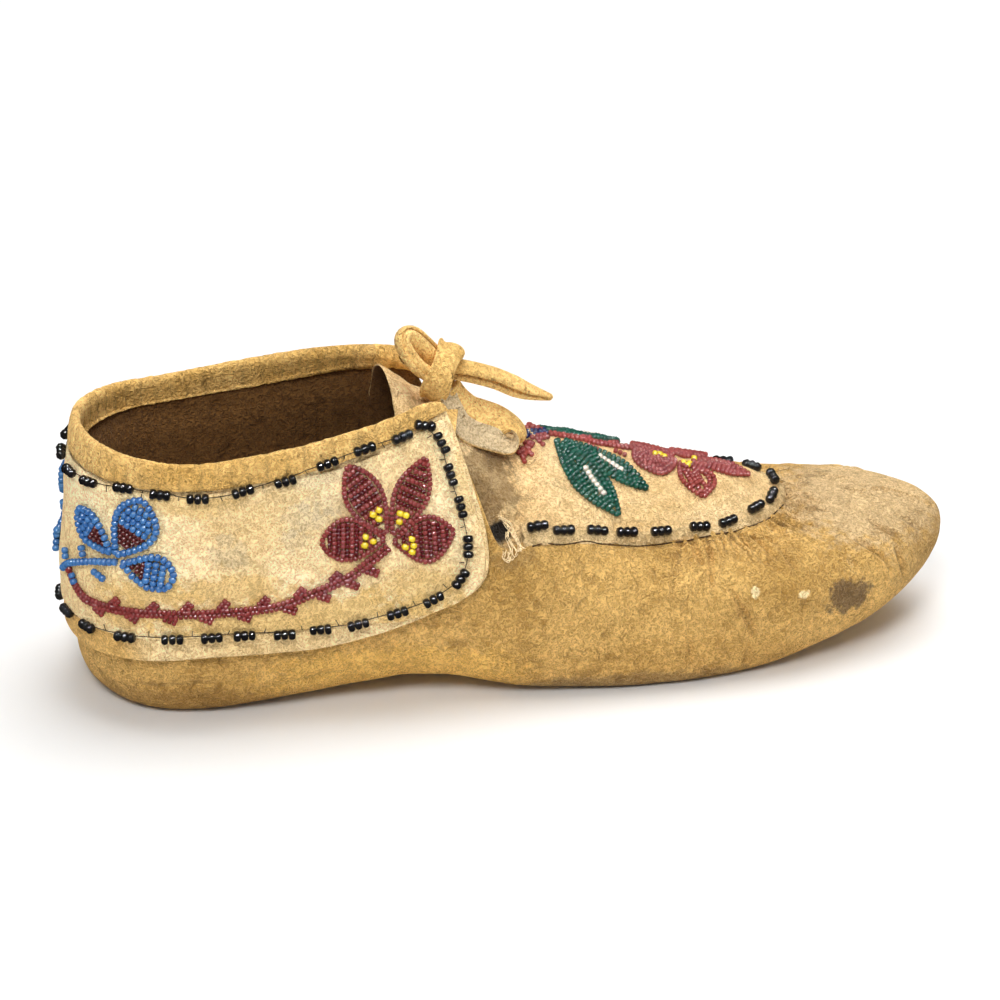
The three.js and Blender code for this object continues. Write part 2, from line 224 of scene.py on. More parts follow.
def keep_value(piece, name, values):
    """A value for each vertex, which the piece's finish reads by its name."""
    layer = piece.data.attributes.new(name, "FLOAT", "POINT")
    layer.data.foreach_set("value", np.asarray(values, dtype=np.float32))


def subdivide(piece, levels):
    pick(piece)
    modifier = piece.modifiers.new("subdivision", "SUBSURF")
    modifier.levels = levels
    modifier.render_levels = levels
    bpy.ops.object.modifier_apply(modifier=modifier.name)


def hide_outline(middle, thick):
    """The outline of a hide's cut end: [over, out] places through its middle, thickened to both sides."""
    ahead = unit(np.gradient(middle, axis=0))
    beside = np.stack([-ahead[:, 1], ahead[:, 0]], axis=1) * thick / 2
    return np.vstack([middle + beside, (middle - beside)[::-1]])


def ring_faces(count, sides, closed=False):
    """The faces of a tube of rings, with both ends shut unless it is closed to a loop."""
    faces = []
    for i in range(count if closed else count - 1):
        here, there = i * sides, ((i + 1) % count) * sides
        for j in range(sides):
            k = (j + 1) % sides
            faces.append((here + j, here + k, there + k, there + j))
    if not closed:
        faces.append(tuple(range(sides)))
        faces.append(tuple(range((count - 1) * sides, count * sides)))
    return faces


def swept_strip(name, line, over, outline, closed=False):
    """A strip along a line: over points across its width, and outline gives its cut end at a share of its
    length."""
    if closed:
        ahead = unit(np.roll(line, -1, axis=0) - np.roll(line, 1, axis=0))
    else:
        ahead = unit(np.gradient(line, axis=0))
    over = np.broadcast_to(over, ahead.shape)
    across = unit(over - (ahead * over).sum(axis=1)[:, None] * ahead)
    out = np.cross(ahead, across)
    cuts = [outline(i / (len(line) - 1)) for i in range(len(line))]
    rings = [
        place + cut[:, :1] * a + cut[:, 1:] * b
        for place, cut, a, b in zip(line, cuts, across, out)
    ]
    return new_piece(name, np.concatenate(rings), ring_faces(len(rings), len(rings[0]), closed))


def rolled_cut(share):
    """The strip rolled lengthwise to a tube, one edge lapped over the other, and looser past its bend."""
    turns = np.radians(np.linspace(*ROLL_TURN, ROLL_POINTS))
    looser = 1 + LOOSER * np.clip((share - LOOSER_FROM) / LOOSER_OVER, 0, 1)
    radii = np.linspace(*ROLL_RADII, ROLL_POINTS) * looser
    roll = np.stack([ROLL_OVAL[0] * radii * np.cos(turns), ROLL_OVAL[1] * radii * np.sin(turns)], axis=1)
    return hide_outline(roll, ROLL_THIN * STRIP_THICK)


def cupped_cut(wide, cup):
    """The strip laid flat, with its edges curled a little."""
    places = np.linspace(-1, 1, CUP_POINTS)
    return hide_outline(np.stack([places * wide / 2, cup * places**2], axis=1), STRIP_THICK)


def lower_loop_cut(share):
    pinch = 1 - LOOP_PINCH + LOOP_PINCH * math.sin(math.pi * share) ** 0.5
    return cupped_cut(LOOP_WIDE * pinch, LOOP_CUP)


def bar_cut(share):
    """The bar narrows to both its ends."""
    return cupped_cut(BAR_WIDE * (BAR_ENDS + (1 - BAR_ENDS) * math.sin(math.pi * share)), BAR_CUP)


def end_cut(share):
    """The end folded lengthwise over itself, drawn out to a worn point."""
    taper = 1 - END_TAPER * max(0.0, (share - END_TAPER_FROM) / (1 - END_TAPER_FROM)) ** 1.4
    return hide_outline(END_FOLD * END_WIDE * taper, STRIP_THICK * (0.55 + 0.45 * taper))


def knot_cut(share):
    """The wrap's cut: a bulging band with one raised lip, thick enough to grip what it ties."""
    return KNOT_BAND * (1 + KNOT_SLACK * math.sin(6 * math.pi * share + 0.7))


lines, thong_pieces = {}, {}
for node, route, over, cut in [
    ("thong_loop_upper", UPPER_LOOP, (0.38, -0.79, 0.47), rolled_cut),
    ("thong_loop_lower", LOWER_LOOP, (-0.69, -0.70, -0.17), lower_loop_cut),
    ("thong_end", FREE_END, (0.1, 0.85, 0.5), end_cut),
    ("thong_bar", BAR, (1.0, 0.0, -0.6), bar_cut),
]:
    lines[node] = smooth_line([thong_place(*p) for p in route], LINE_STEP)
    thong_pieces[node] = swept_strip(node + "_strip", lines[node], over, cut)
flesh_side = np.tile(np.arange(2 * CUP_POINTS) < CUP_POINTS, len(lines["thong_loop_lower"]))
keep_value(thong_pieces["thong_loop_lower"], "inside", flesh_side)

knot_deep = (to_viewer - to_viewer.dot(KNOT_ACROSS) * KNOT_ACROSS).normalized()
knot_long = knot_deep.cross(KNOT_ACROSS)
knot_line = np.array([
    Vector(thong_place(*KNOT_CENTRE)) + KNOT_RADII[0] * math.cos(turn) * knot_long
    + KNOT_RADII[1] * math.sin(turn) * knot_deep
    for turn in 2 * math.pi * np.arange(KNOT_STEPS) / KNOT_STEPS
])
knot = swept_strip("thong_knot_wrap", knot_line, tuple(KNOT_ACROSS), knot_cut, closed=True)
thong_pieces["thong_knot"] = knot

for node, piece in thong_pieces.items():
    subdivide(piece, 1)
    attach(piece, "root")
    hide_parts(node)


# The bottom: one smoked, napped hide that is sole, heel, sides and toe, gathered in puckers to the vamp. Wear
# has creased it across the ball and round the toe, and it is stained near the toe and darker along the floor.
SWING = 4.5
SWING_FROM = 92
LENGTH = 254
MIDDLE_LINE = 0.09
MERGE = 1e-5
QUAD_ANGLE = math.radians(70)
CREASE_STEP = 0.0006
CREASE_REACH = 4.5
CREASE_FACING = 0.3
BANK_HIGH = 0.55
BANK_OFF = 2.1
BANK_WIDE = 0.95
# Painted shade in the troughs: full from this depth in millimetres, and as wide as this share of the crease.
SHADE_FULL_DEPTH = 1.1
SHADE_WIDE = 0.36


def shoe_place(along, side, height):
    """A place on the shoe, from millimetres off the heel's back, its own curved centre line and the floor."""
    share = max(0.0, (along - SWING_FROM) / (LENGTH - SWING_FROM))
    return thong_place(along, side - SWING * share**2, height)


def hide_over(node, name, levels):
    """A smooth hide over a solid: a copy of its mesh, merged, turned to quads and subdivided."""
    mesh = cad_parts[node].data.copy()
    mesh.name = name
    mesh.materials.clear()
    hide = bpy.data.objects.new(name, mesh)
    bpy.context.collection.objects.link(hide)
    pick(hide)
    bpy.ops.mesh.customdata_custom_splitnormals_clear()
    bpy.ops.object.mode_set(mode="EDIT")
    bpy.ops.mesh.select_all(action="SELECT")
    bpy.ops.mesh.remove_doubles(threshold=MERGE)
    bpy.ops.mesh.tris_convert_to_quads(face_threshold=QUAD_ANGLE, shape_threshold=QUAD_ANGLE)
    bpy.ops.object.mode_set(mode="OBJECT")
    subdivide(hide, levels)
    bpy.ops.object.shade_smooth()
    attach(hide, "root")
    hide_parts(node)
    return hide


def places_of(piece):
    flat = np.empty(3 * len(piece.data.vertices))
    piece.data.vertices.foreach_get("co", flat)
    return flat.reshape(-1, 3)


def directions_of(piece):
    flat = np.empty(3 * len(piece.data.vertices))
    piece.data.vertex_normals.foreach_get("vector", flat)
    return flat.reshape(-1, 3)


def set_places(piece, places):
    piece.data.vertices.foreach_set("co", places.ravel())
    piece.data.update()


def move_out(piece, shift):
    """Each vertex moves along its own normal by its shift."""
    set_places(piece, places_of(piece) + directions_of(piece) * shift[:, None])


def surface_of(*pieces):
    """A search tree over the faces of some pieces."""
    places, faces = [], []
    for piece in pieces:
        start = len(places)
        places.extend(tuple(p) for p in places_of(piece))
        faces.extend(tuple(start + v for v in face.vertices) for face in piece.data.polygons)
    return BVHTree.FromPolygons(places, faces)


def line_tree(line):
    """A search tree over the places of a line."""
    tree = KDTree(len(line))
    for i, place in enumerate(line):
        tree.insert(place, i)
    tree.balance()
    return tree


def inside_of(piece, height):
    """1 for each vertex whose normal points at the shoe's middle line, at a height, and 0 for the rest."""
    places = places_of(piece)
    middle = places.copy()
    middle[:, 0] = np.clip(places[:, 0], -MIDDLE_LINE, MIDDLE_LINE)
    middle[:, 1] = CENTRE_LINE / 1000
    middle[:, 2] = height / 1000
    return (((places - middle) * directions_of(piece)).sum(axis=1) < 0).astype(float)


def wrinkles(piece, *waves):
    """A soft uneven height for each vertex, from waves of a length, a depth and a seed."""
    places = [Vector(p) for p in places_of(piece)]
    height = np.zeros(len(places))
    for wave, depth, seed in waves:
        shift = Vector((seed, 2 * seed, 3 * seed))
        height += np.array([depth * noise.noise(p / wave + shift) for p in places])
    return height


def shoe_line(route, step):
    return smooth_line([shoe_place(*p) for p in route], step)


def finer_near(piece, creases, reach):
    """The faces of a piece that lie near some creases are split into smaller ones."""
    spots = line_tree(np.vstack([shoe_line(route, 0.002) for route, *_ in creases]))
    pick(piece)
    for vertex in piece.data.vertices:
        vertex.select = False
    for face in piece.data.polygons:
        face.select = spots.find(face.center)[2] < reach
    bpy.ops.object.mode_set(mode="EDIT")
    bpy.ops.mesh.select_mode(type="FACE")
    bpy.ops.mesh.subdivide(number_cuts=1, smoothness=0)
    bpy.ops.object.mode_set(mode="OBJECT")


def press_creases(piece, creases):
    """Soft troughs with low banks beside them, on the piece's outer face. A crease has a given line, a depth
    and a width in millimetres, and whether it is open where it starts."""
    tree = surface_of(piece)
    places, directions = places_of(piece), directions_of(piece)
    shift = np.zeros(len(places))
    trough = np.zeros(len(places))
    for route, depth, width, open_start in creases:
        hits = [tree.find_nearest(p) for p in shoe_line(route, CREASE_STEP)]
        spots = np.array([hit[0] for hit in hits])
        facing = np.array([hit[1] for hit in hits])
        reach = CREASE_REACH * width / 1000
        near = np.flatnonzero(((places > spots.min(0) - reach) & (places < spots.max(0) + reach)).all(axis=1))
        apart = np.linalg.norm(places[near][:, None] - spots[None], axis=2)
        nearest = apart.argmin(axis=1)
        distance = apart.min(axis=1) * 1000 / width
        share = nearest / (len(spots) - 1)
        fade = np.cos(share * math.pi / 2) ** 0.7 if open_start else np.sin(share * math.pi) ** 0.6
        fade = fade * ((directions[near] * facing[nearest]).sum(axis=1) > CREASE_FACING)
        valley = np.exp(-(distance**1.5))
        bank = BANK_HIGH * np.exp(-(((distance - BANK_OFF) / BANK_WIDE) ** 2))
        shift[near] += depth / 1000 * fade * (bank - valley)
        # Painted shade along each trough's floor, darker for deeper creases; it is kept as the trough value.
        trough_shade = min(1.0, depth / SHADE_FULL_DEPTH) * fade * np.exp(-((distance / SHADE_WIDE) ** 2))
        trough[near] = np.maximum(trough[near], trough_shade)
    move_out(piece, shift)
    keep_value(piece, "trough", trough)


bottom = hide_over("sole_and_sides", "bottom_hide", 2)

# The hide is a little lumpy where it lies bare, under the cuff's hem and before the cuff.
CUFF_HEM = 17
CUFF_FRONT = 114
FADE_UP = 6
FADE_ALONG = 10
places = places_of(bottom)
height_of = places[:, 2] * 1000
bare_below = np.clip((CUFF_HEM - height_of) / FADE_UP, 0, 1)
bare_front = np.clip((places[:, 0] * 1000 + HEEL_TO_MIDDLE - CUFF_FRONT) / FADE_ALONG, 0, 1)
showing = np.maximum(bare_below, bare_front) * np.clip(height_of / FADE_UP, 0, 1)
lumps = wrinkles(bottom, (0.024, 0.0009, 3.1), (0.009, 0.00035, 7.7))
move_out(bottom, lumps * showing * (1 - inside_of(bottom, height=36)))

# The puckers: short creases that fan out from the vamp's edge round the toe.
VAMP_SEAM = [
    (119.8, 37.6, 46.4), (146, 33.6, 41.8), (166.5, 29.8, 38.8), (182.5, 25.8, 37.4), (194, 20, 37),
    (202, 13, 37.4), (206.2, 6.5, 38), (207.5, 0, 38.3),
]
PUCKERS = 38
PUCKER_SPAN = 92
PUCKER_CENTRE = 172
PUCKER_RADII = (35.6, 29.6)
PUCKER_REACH = (7, 14)
PUCKER_DEPTH = (0.8, 1.4)
PUCKER_WIDTH = (0.6, 0.9)
pucker_draw = random.Random(5)


def pucker_spot(turn, reach):
    """A place on the toe, at a turn and a reach beyond the vamp's edge."""
    along = PUCKER_CENTRE + (PUCKER_RADII[0] + reach) * math.cos(turn)
    return np.array((along, (PUCKER_RADII[1] + reach) * math.sin(turn)))


creases = []
for i in range(PUCKERS):
    turn = math.radians(PUCKER_SPAN * (2 * (i + pucker_draw.uniform(-0.3, 0.3)) / (PUCKERS - 1) - 1))
    reach = pucker_draw.uniform(*PUCKER_REACH)
    start = pucker_spot(turn, 0)
    stop = pucker_spot(turn + pucker_draw.uniform(-0.05, 0.05), reach)
    route = [(*start, 37.6), (*(start + stop) / 2, 37.2), (*stop, 36)]
    creases.append((route, pucker_draw.uniform(*PUCKER_DEPTH), pucker_draw.uniform(*PUCKER_WIDTH), True))

# Listed creases: the places of a line, its depth, its width, and whether it is open where it starts.
CREASES = [
    ([(176.3, -28, 37.7), (174.3, -36.5, 34.3), (173.5, -41.4, 29.6), (174.2, -43.1, 25.9)], 0.9, 0.75, True),
    ([(168.8, -29.6, 38.4), (164.6, -36.8, 35.5), (162.3, -41.1, 31.4), (161.2, -44.3, 24.3)],
     0.55, 1.0, True),
    ([(165.1, -45, 18.7), (166.4, -44.7, 12), (167, -42.8, 4.6)], 0.6, 0.8, False),
    ([(178, -41, 30), (180.1, -42.6, 26.3), (183.1, -44, 20.2), (186, -43.7, 13.4)], 1.0, 0.9, False),
    ([(183.8, -43.9, 12.9), (183.8, -42.6, 7.4), (183, -40.9, 3.4)], 0.7, 0.7, False),
    ([(182.5, -26, 37.3), (182.4, -31.7, 36), (182.8, -36.5, 33.4)], 0.8, 0.7, True),
    ([(185.1, -24.9, 37.2), (188.1, -32.5, 35), (190.7, -36.4, 32.6)], 0.7, 0.7, True),
    ([(226.4, -17.1, 36.2), (227.2, -20.9, 35), (229.7, -22.5, 33.9), (234.7, -23.8, 31.5)], 1.1, 0.8, False),
    ([(218.3, -25.8, 34.6), (223.8, -29.1, 31.5), (228.1, -30.8, 27.5), (228.8, -31.9, 24.2)],
     0.9, 0.8, False),
    ([(231.2, -25.5, 31.7), (232.5, -28, 28.7), (233.4, -29.3, 24.7), (234.5, -27.7, 19.1)], 0.9, 0.9, False),
    ([(195.9, -30, 35.3), (197.4, -34.6, 32.9), (199.4, -38, 29.6)], 0.8, 0.8, False),
    ([(236.3, -16, 34.8), (240, -18, 33), (242.8, -19.1, 30.9)], 0.8, 1.1, False),
    ([(197.6, -18.1, 37), (207.7, -26.9, 35.3)], 0.6, 0.9, True),
    ([(202.1, -41, 22.4), (205.5, -40.5, 16.2)], 0.4, 0.9, False),
    ([(133.2, -42.2, 10.5), (135.5, -40.1, 3.6)], 0.5, 0.7, False),
    ([(137.6, -41.6, 32.8), (133, -42.8, 26.8)], 0.45, 1.4, False),
    ([(4.6, -12.5, 10.2), (14, -24, 11), (24, -30, 11.5), (36, -31.4, 12.5)], 0.5, 1.2, False),
    ([(45, -31.6, 8.7), (58, -32.9, 9.5), (72, -33.6, 12)], 0.45, 1.3, False),
    ([(217.1, 21.5, 36), (218.4, 16.1, 37), (220.1, 9.9, 37.6), (226.7, 5.2, 37.5), (232, -3.5, 37.2)],
     0.6, 0.75, False),
    ([(222.9, 0, 38), (225.6, -2.8, 37.7), (230.8, -4.2, 37.2)], 0.7, 0.6, False),
    ([(231, -3.4, 37.3), (236.7, -2.1, 36.7), (240.2, -3.2, 35.9), (245.7, -5.8, 34.4), (250.5, -7.1, 31.4)],
     0.9, 0.65, False),
    ([(178, 41, 30), (181, 43, 24), (185, 43.8, 15)], 0.9, 0.9, False),
    ([(160, 38, 35), (158, 42.5, 29), (157, 44.5, 21)], 0.6, 1.1, False),
    ([(214, 30, 33), (222, 31, 29), (228, 32, 22)], 0.8, 1.2, False),
    ([(226, 18, 36), (234, 22, 32.5), (238, 25, 27)], 0.9, 1.1, False),
    ([(136, 41, 33), (132, 42, 26), (133, 42.5, 18)], 0.5, 1.3, False),
    ([(5, 12, 10), (15, 24, 11), (27, 30.5, 11.8), (40, 31.6, 12)], 0.5, 1.2, False),
]
CREASE_BOLD = 1.3
SEAM_DEPTH = 0.7
SEAM_WIDTH = 0.55
SEAM_OFF = 1.4
FINER_REACHES = (0.0022, 0.0008)
for hand in (-1, 1):
    beside_seam = [(a, hand * (h + SEAM_OFF), z) for a, h, z in VAMP_SEAM[1:-1]]
    beside_seam.append((VAMP_SEAM[-1][0] + 1.5, 0, VAMP_SEAM[-1][2]))
    creases.append((beside_seam, SEAM_DEPTH, SEAM_WIDTH, False))
creases += [(route, CREASE_BOLD * depth, width, open_start) for route, depth, width, open_start in CREASES]
for reach in FINER_REACHES:
    finer_near(bottom, creases, reach)
press_creases(bottom, creases)
keep_value(bottom, "inside", inside_of(bottom, height=20))


def new_group(name, inputs, outputs):
    """A shader node group with named sockets: inputs with their values, and outputs that are numbers."""
    group = bpy.data.node_groups.new(name, "ShaderNodeTree")
    for socket, value in inputs.items():
        kind = "NodeSocketVector" if isinstance(value, tuple) else "NodeSocketFloat"
        group.interface.new_socket(socket, in_out="INPUT", socket_type=kind).default_value = value
    for socket in outputs:
        group.interface.new_socket(socket, in_out="OUTPUT", socket_type="NodeSocketFloat")
    return group, group.nodes.new("NodeGroupInput").outputs, group.nodes.new("NodeGroupOutput").inputs


def add_node(tree, kind, settings=None, **inputs):
    """A node with its settings; an input is a value or another node's output socket."""
    made = tree.nodes.new(kind)
    for name, value in (settings or {}).items():
        setattr(made, name, value)
    for name, value in inputs.items():
        socket = made.inputs[int(name[1:]) if name[0] == "i" and name[1:].isdigit() else name]
        if isinstance(value, bpy.types.NodeSocket):
            tree.links.new(value, socket)
        else:
            socket.default_value = value
    return made


def value_of(tree, name):
    """A value that is kept on the piece's vertices."""
    return add_node(tree, "ShaderNodeAttribute", {"attribute_name": name}).outputs["Fac"]


def mixed(tree, share, first, second, blend="MIX"):
    """A colour between two colours."""
    first, second = [(*c, 1) if isinstance(c, tuple) else c for c in (first, second)]
    settings = {"data_type": "RGBA", "blend_type": blend}
    return add_node(tree, "ShaderNodeMix", settings, i0=share, i6=first, i7=second).outputs[2]


def stretched(tree, value, low, high, to_low=0.0, to_high=1.0):
    """A value taken from one range to another, and held inside it."""
    ranges = {"i1": low, "i2": high, "i3": to_low, "i4": to_high}
    settings = {"interpolation_type": "SMOOTHSTEP"}
    return add_node(tree, "ShaderNodeMapRange", settings, i0=value, **ranges).outputs[0]


def mottle(tree, place, scale, detail, rough=0.5, curl=0.0):
    """An uneven value over the surface, from 0 to 1, in waves to the metre."""
    texture = {"Scale": scale, "Detail": detail, "Roughness": rough, "Distortion": curl}
    return add_node(tree, "ShaderNodeTexNoise", Vector=place, **texture).outputs["Fac"]


def calc(tree, operation, first, second=0.0):
    return add_node(tree, "ShaderNodeMath", {"operation": operation}, i0=first, i1=second).outputs[0]


def times(tree, product, *values):
    for value in values:
        product = calc(tree, "MULTIPLY", product, value)
    return product


def weighed(tree, *parts):
    """The sum of some values, each times its weight."""
    total, *others = [times(tree, *part) for part in parts]
    for other in others:
        total = calc(tree, "ADD", total, other)
    return total


def veins(tree, place, scale, detail, width, curl=0.0):
    """Thin winding lines, where an uneven value crosses its middle."""
    value = calc(tree, "SUBTRACT", mottle(tree, place, scale, detail, curl=curl), 0.5)
    return stretched(tree, calc(tree, "ABSOLUTE", value), width, 0.0)


# Hide, close to: broad clouds of colour, smaller blotches, short fibres of nap, pits, and a net of fine
# wrinkles, whose lines and pits are painted darker as their shade. Its height is in millimetres.
nap_group, nap_in, nap_out = new_group(
    "hide_nap", {"Grain": 1.0, "Wrinkled": 1.0, "Pitted": 0.0}, ["Cloud", "Blotch", "Nap", "Dark", "Height"],
)
spot = add_node(nap_group, "ShaderNodeTexCoord").outputs["Object"]
cloud = mottle(nap_group, spot, scale=30, detail=4, rough=0.55)
blotch = mottle(nap_group, spot, scale=230, detail=5, rough=0.7)
fine = mottle(nap_group, spot, scale=2000, detail=2, rough=0.65)
fibre = veins(nap_group, spot, scale=800, detail=1, width=0.16, curl=0.8)
folded = stretched(nap_group, mottle(nap_group, spot, scale=52, detail=3), 0.44, 0.6)
crinkled = stretched(nap_group, mottle(nap_group, spot, scale=85, detail=3), 0.46, 0.6)
broken = stretched(nap_group, mottle(nap_group, spot, scale=170, detail=2), 0.44, 0.58)
net = times(nap_group, veins(nap_group, spot, scale=100, detail=3, width=0.032), folded, broken)
crinkle = times(nap_group, veins(nap_group, spot, scale=240, detail=2, width=0.05), crinkled, broken, 0.7)
wrinkle = times(nap_group, calc(nap_group, "MAXIMUM", net, crinkle), nap_in["Wrinkled"])
pits = stretched(nap_group, mottle(nap_group, spot, scale=620, detail=1), 0.66, 0.74)
pits = times(nap_group, pits, nap_in["Pitted"])
grain = times(nap_group, weighed(nap_group, (fine, 0.26), (fibre, 0.32)), nap_in["Grain"])
for socket, value in {
    "Cloud": cloud,
    "Blotch": blotch,
    "Nap": weighed(nap_group, (fine, 0.55), (blotch, 0.25), (fibre, 0.2)),
    "Dark": calc(nap_group, "MAXIMUM", times(nap_group, wrinkle, 0.6), pits),
    "Height": weighed(nap_group, (grain, 1), (blotch, 0.8), (wrinkle, -0.3), (pits, -0.3)),
}.items():
    nap_group.links.new(value, nap_out[socket])

# A patch for dirt, stains and wear, and also for painted shade: a ragged soft-edged spot of a size, round a
# centre.
patch_group, patch_in, patch_out = new_group(
    "worn_patch", {"Centre": (0, 0, 0), "Size": (0.01, 0.01, 0.01), "Ragged": 0.5}, ["Mask"],
)
spot = add_node(patch_group, "ShaderNodeTexCoord").outputs["Object"]
far = spot
for operation, socket in (("SUBTRACT", "Centre"), ("DIVIDE", "Size")):
    settings = {"operation": operation}
    far = add_node(patch_group, "ShaderNodeVectorMath", settings, i0=far, i1=patch_in[socket]).outputs[0]
far = add_node(patch_group, "ShaderNodeVectorMath", {"operation": "LENGTH"}, i0=far).outputs["Value"]
edge = calc(patch_group, "SUBTRACT", mottle(patch_group, spot, scale=300, detail=4, rough=0.65), 0.5)
edge = weighed(patch_group, (far, 1), (edge, patch_in["Ragged"], 2))
patch_group.links.new(stretched(patch_group, edge, 1.12, 0.62), patch_out["Mask"])

NAP_LOW = (0.84, 0.76, 0.64)
NAP_HIGH = (1.46, 1.48, 1.50)
# The colour of the painted shade in fine wrinkles and pits.
NAP_CREASE_SHADE = (0.46, 0.37, 0.25)
# The flesh side inside the shoe, painted dark as the shade that falls in there.
FLESH_IN_SHADE = (0.19, 0.092, 0.028)
# The colour of the painted shade in crease troughs, and how far towards it they go.
CREASE_SHADE = (0.13, 0.08, 0.035)
CREASE_SHADE_SHARE = 0.65
HIDE_SURFACE = {"Roughness": 0.9, "Specular IOR Level": 0, "Sheen Weight": 0.08, "Sheen Roughness": 0.6}


def hide_finish(name, light, dark, flesh=FLESH_IN_SHADE, grain=1.0, wrinkled=1.0, pitted=0.0, crease_shade=CREASE_SHADE, patches=()):
    """Soft napped hide: two colours in clouds, troughs painted dark as their shade, and a flesh side within,
    which by default is painted dark as the shade inside the shoe. A given patch has a centre and a size in
    millimetres, how ragged and how strong it is, and a colour."""
    finish, shader = new_finish(name, HIDE_SURFACE)
    tree = finish.node_tree
    nap = {"Grain": grain, "Wrinkled": wrinkled, "Pitted": pitted}
    worn = add_node(tree, "ShaderNodeGroup", {"node_tree": nap_group}, **nap).outputs
    clouds = stretched(tree, worn["Cloud"], 0.36, 0.64)
    blotches = stretched(tree, worn["Blotch"], 0.32, 0.68)
    speckled = mixed(tree, stretched(tree, worn["Nap"], 0.28, 0.72), NAP_LOW, NAP_HIGH)
    # Painted shade in the fine wrinkles and pits.
    speckled = mixed(tree, worn["Dark"], speckled, NAP_CREASE_SHADE)
    within = value_of(tree, "inside")
    without = calc(tree, "SUBTRACT", 1.0, within)
    colour = mixed(tree, weighed(tree, (clouds, 0.75), (blotches, 0.25)), dark, light)
    colour = mixed(tree, within, colour, flesh)
    for centre, size, ragged, strength, paint in patches:
        spot = {"Centre": shoe_place(*centre), "Size": [s / 1000 for s in size], "Ragged": ragged}
        patch = add_node(tree, "ShaderNodeGroup", {"node_tree": patch_group}, **spot).outputs["Mask"]
        colour = mixed(tree, times(tree, patch, strength, without), colour, paint)
    # Painted shade in the troughs.
    colour = mixed(tree, times(tree, value_of(tree, "trough"), CREASE_SHADE_SHARE), colour, crease_shade)
    colour = mixed(tree, 1.0, colour, speckled, "MULTIPLY")
    tree.links.new(colour, shader.inputs["Base Color"])
    relief = add_node(tree, "ShaderNodeBump", Strength=1.0, Distance=0.001, Height=worn["Height"])
    tree.links.new(relief.outputs[0], shader.inputs["Normal"])
    return finish


DEEP_BROWN = (0.17, 0.12, 0.075)
PALE_WEAR = (0.96, 0.80, 0.46)
bottom.data.materials.append(hide_finish(
    "smoked_hide", (0.745, 0.47, 0.158), (0.49, 0.285, 0.078), grain=1.2,
    patches=[
        # A stain on the toe, two pale scuffs, and patches that make the hide darker along the floor, at the
        # heel and the toe's end, paler on the toe's top and more golden along its side.
        ((215, -37.5, 21), (7.8, 10, 5.8), 1.1, 0.8, (0.12, 0.075, 0.045)),
        ((185.9, -41.5, 27.3), (1.3, 5, 2.0), 1.1, 0.9, PALE_WEAR),
        ((200.7, -40.6, 24.8), (2.2, 5, 1.4), 1.3, 0.9, PALE_WEAR),
        ((150, -41, 2), (38, 14, 5), 0.8, 0.6, DEEP_BROWN),
        ((165, -43, 9), (40, 12, 9), 0.8, 0.3, (0.46, 0.25, 0.055)),
        ((228, -4, 36), (30, 30, 11), 0.7, 0.6, (0.76, 0.58, 0.35)),
        ((30, -20, 3), (40, 26, 9), 0.7, 0.5, (0.30, 0.16, 0.045)),
        ((84, -33, 10), (46, 14, 10), 0.7, 0.6, (0.88, 0.54, 0.14)),
        ((30, -32, 6), (44, 14, 7), 0.9, 0.2, (0.36, 0.19, 0.045)),
        ((240, -14, 24), (18, 22, 13), 0.9, 0.35, (0.44, 0.29, 0.13)),
        ((117, -38, 44), (7, 8, 4), 1.0, 0.25, DEEP_BROWN),
    ],
))


# The vamp: a plug of paler hide over the top of the foot. Its edge is folded to a narrow welt, whipped to the
# gathered rim of the bottom, and it carries the floral beadwork.
SEAM_STEP = 0.0008
DROP_FROM = 0.12
LAP_EDGE = 126
LAP_BOW = 6.2
LAP_REACH = 9.0
LAP_HALF = 34
LAP_DROP = 0.004
LAP_SKIN = 0.0005
FOLD_HIGH = 0.0011
FOLD_OFF = 5.5
FOLD_WIDE = 2.2


def eased(value):
    """A value held from 0 to 1, and eased at both."""
    value = np.clip(value, 0, 1)
    return value**2 * (3 - 2 * value)


def drop_on(tree, spot):
    """Where a spot falls straight down on a surface, and the way that faces out there."""
    return tree.ray_cast(Vector((spot[0], spot[1], DROP_FROM)), Vector((0, 0, -1)))[:2]


vamp = hide_over("vamp", "vamp_hide", 3)
tongue = hide_over("tongue", "tongue_hide", 3)
tongue_tree = surface_of(tongue)
in_vamp = inside_of(vamp, height=20)
vamp_places = places_of(vamp)
rise = wrinkles(vamp, (0.016, 0.0009, 1.7), (0.006, 0.0004, 4.3))

# Where the vamp laps the tongue, it thins out and lies close on it behind a soft fold.
bow = LAP_BOW * (vamp_places[:, 1] * 1000 / VAMP_SEAM[0][1]) ** 2
behind = vamp_places[:, 0] * 1000 + HEEL_TO_MIDDLE - LAP_EDGE + bow
uneven = 0.6 + 0.8 * wrinkles(vamp, (0.012, 1, 6.1))
fold = FOLD_HIGH * np.exp(-(((behind - FOLD_OFF) / FOLD_WIDE) ** 2)) * uneven
move_out(vamp, (rise + fold) * (1 - in_vamp))
vamp_places = places_of(vamp)
lapping = eased(1 - behind / LAP_REACH)
lapping *= np.clip((LAP_HALF - np.abs(vamp_places[:, 1] * 1000 - CENTRE_LINE)) / 6, 0, 1)
for i in np.flatnonzero(lapping > 0):
    under, _ = drop_on(tongue_tree, vamp_places[i])
    if under:
        vamp_places[i, 2] -= lapping[i] * min(LAP_DROP, max(0.0, vamp_places[i, 2] - under.z + LAP_SKIN))
set_places(vamp, vamp_places)
keep_value(vamp, "inside", in_vamp)

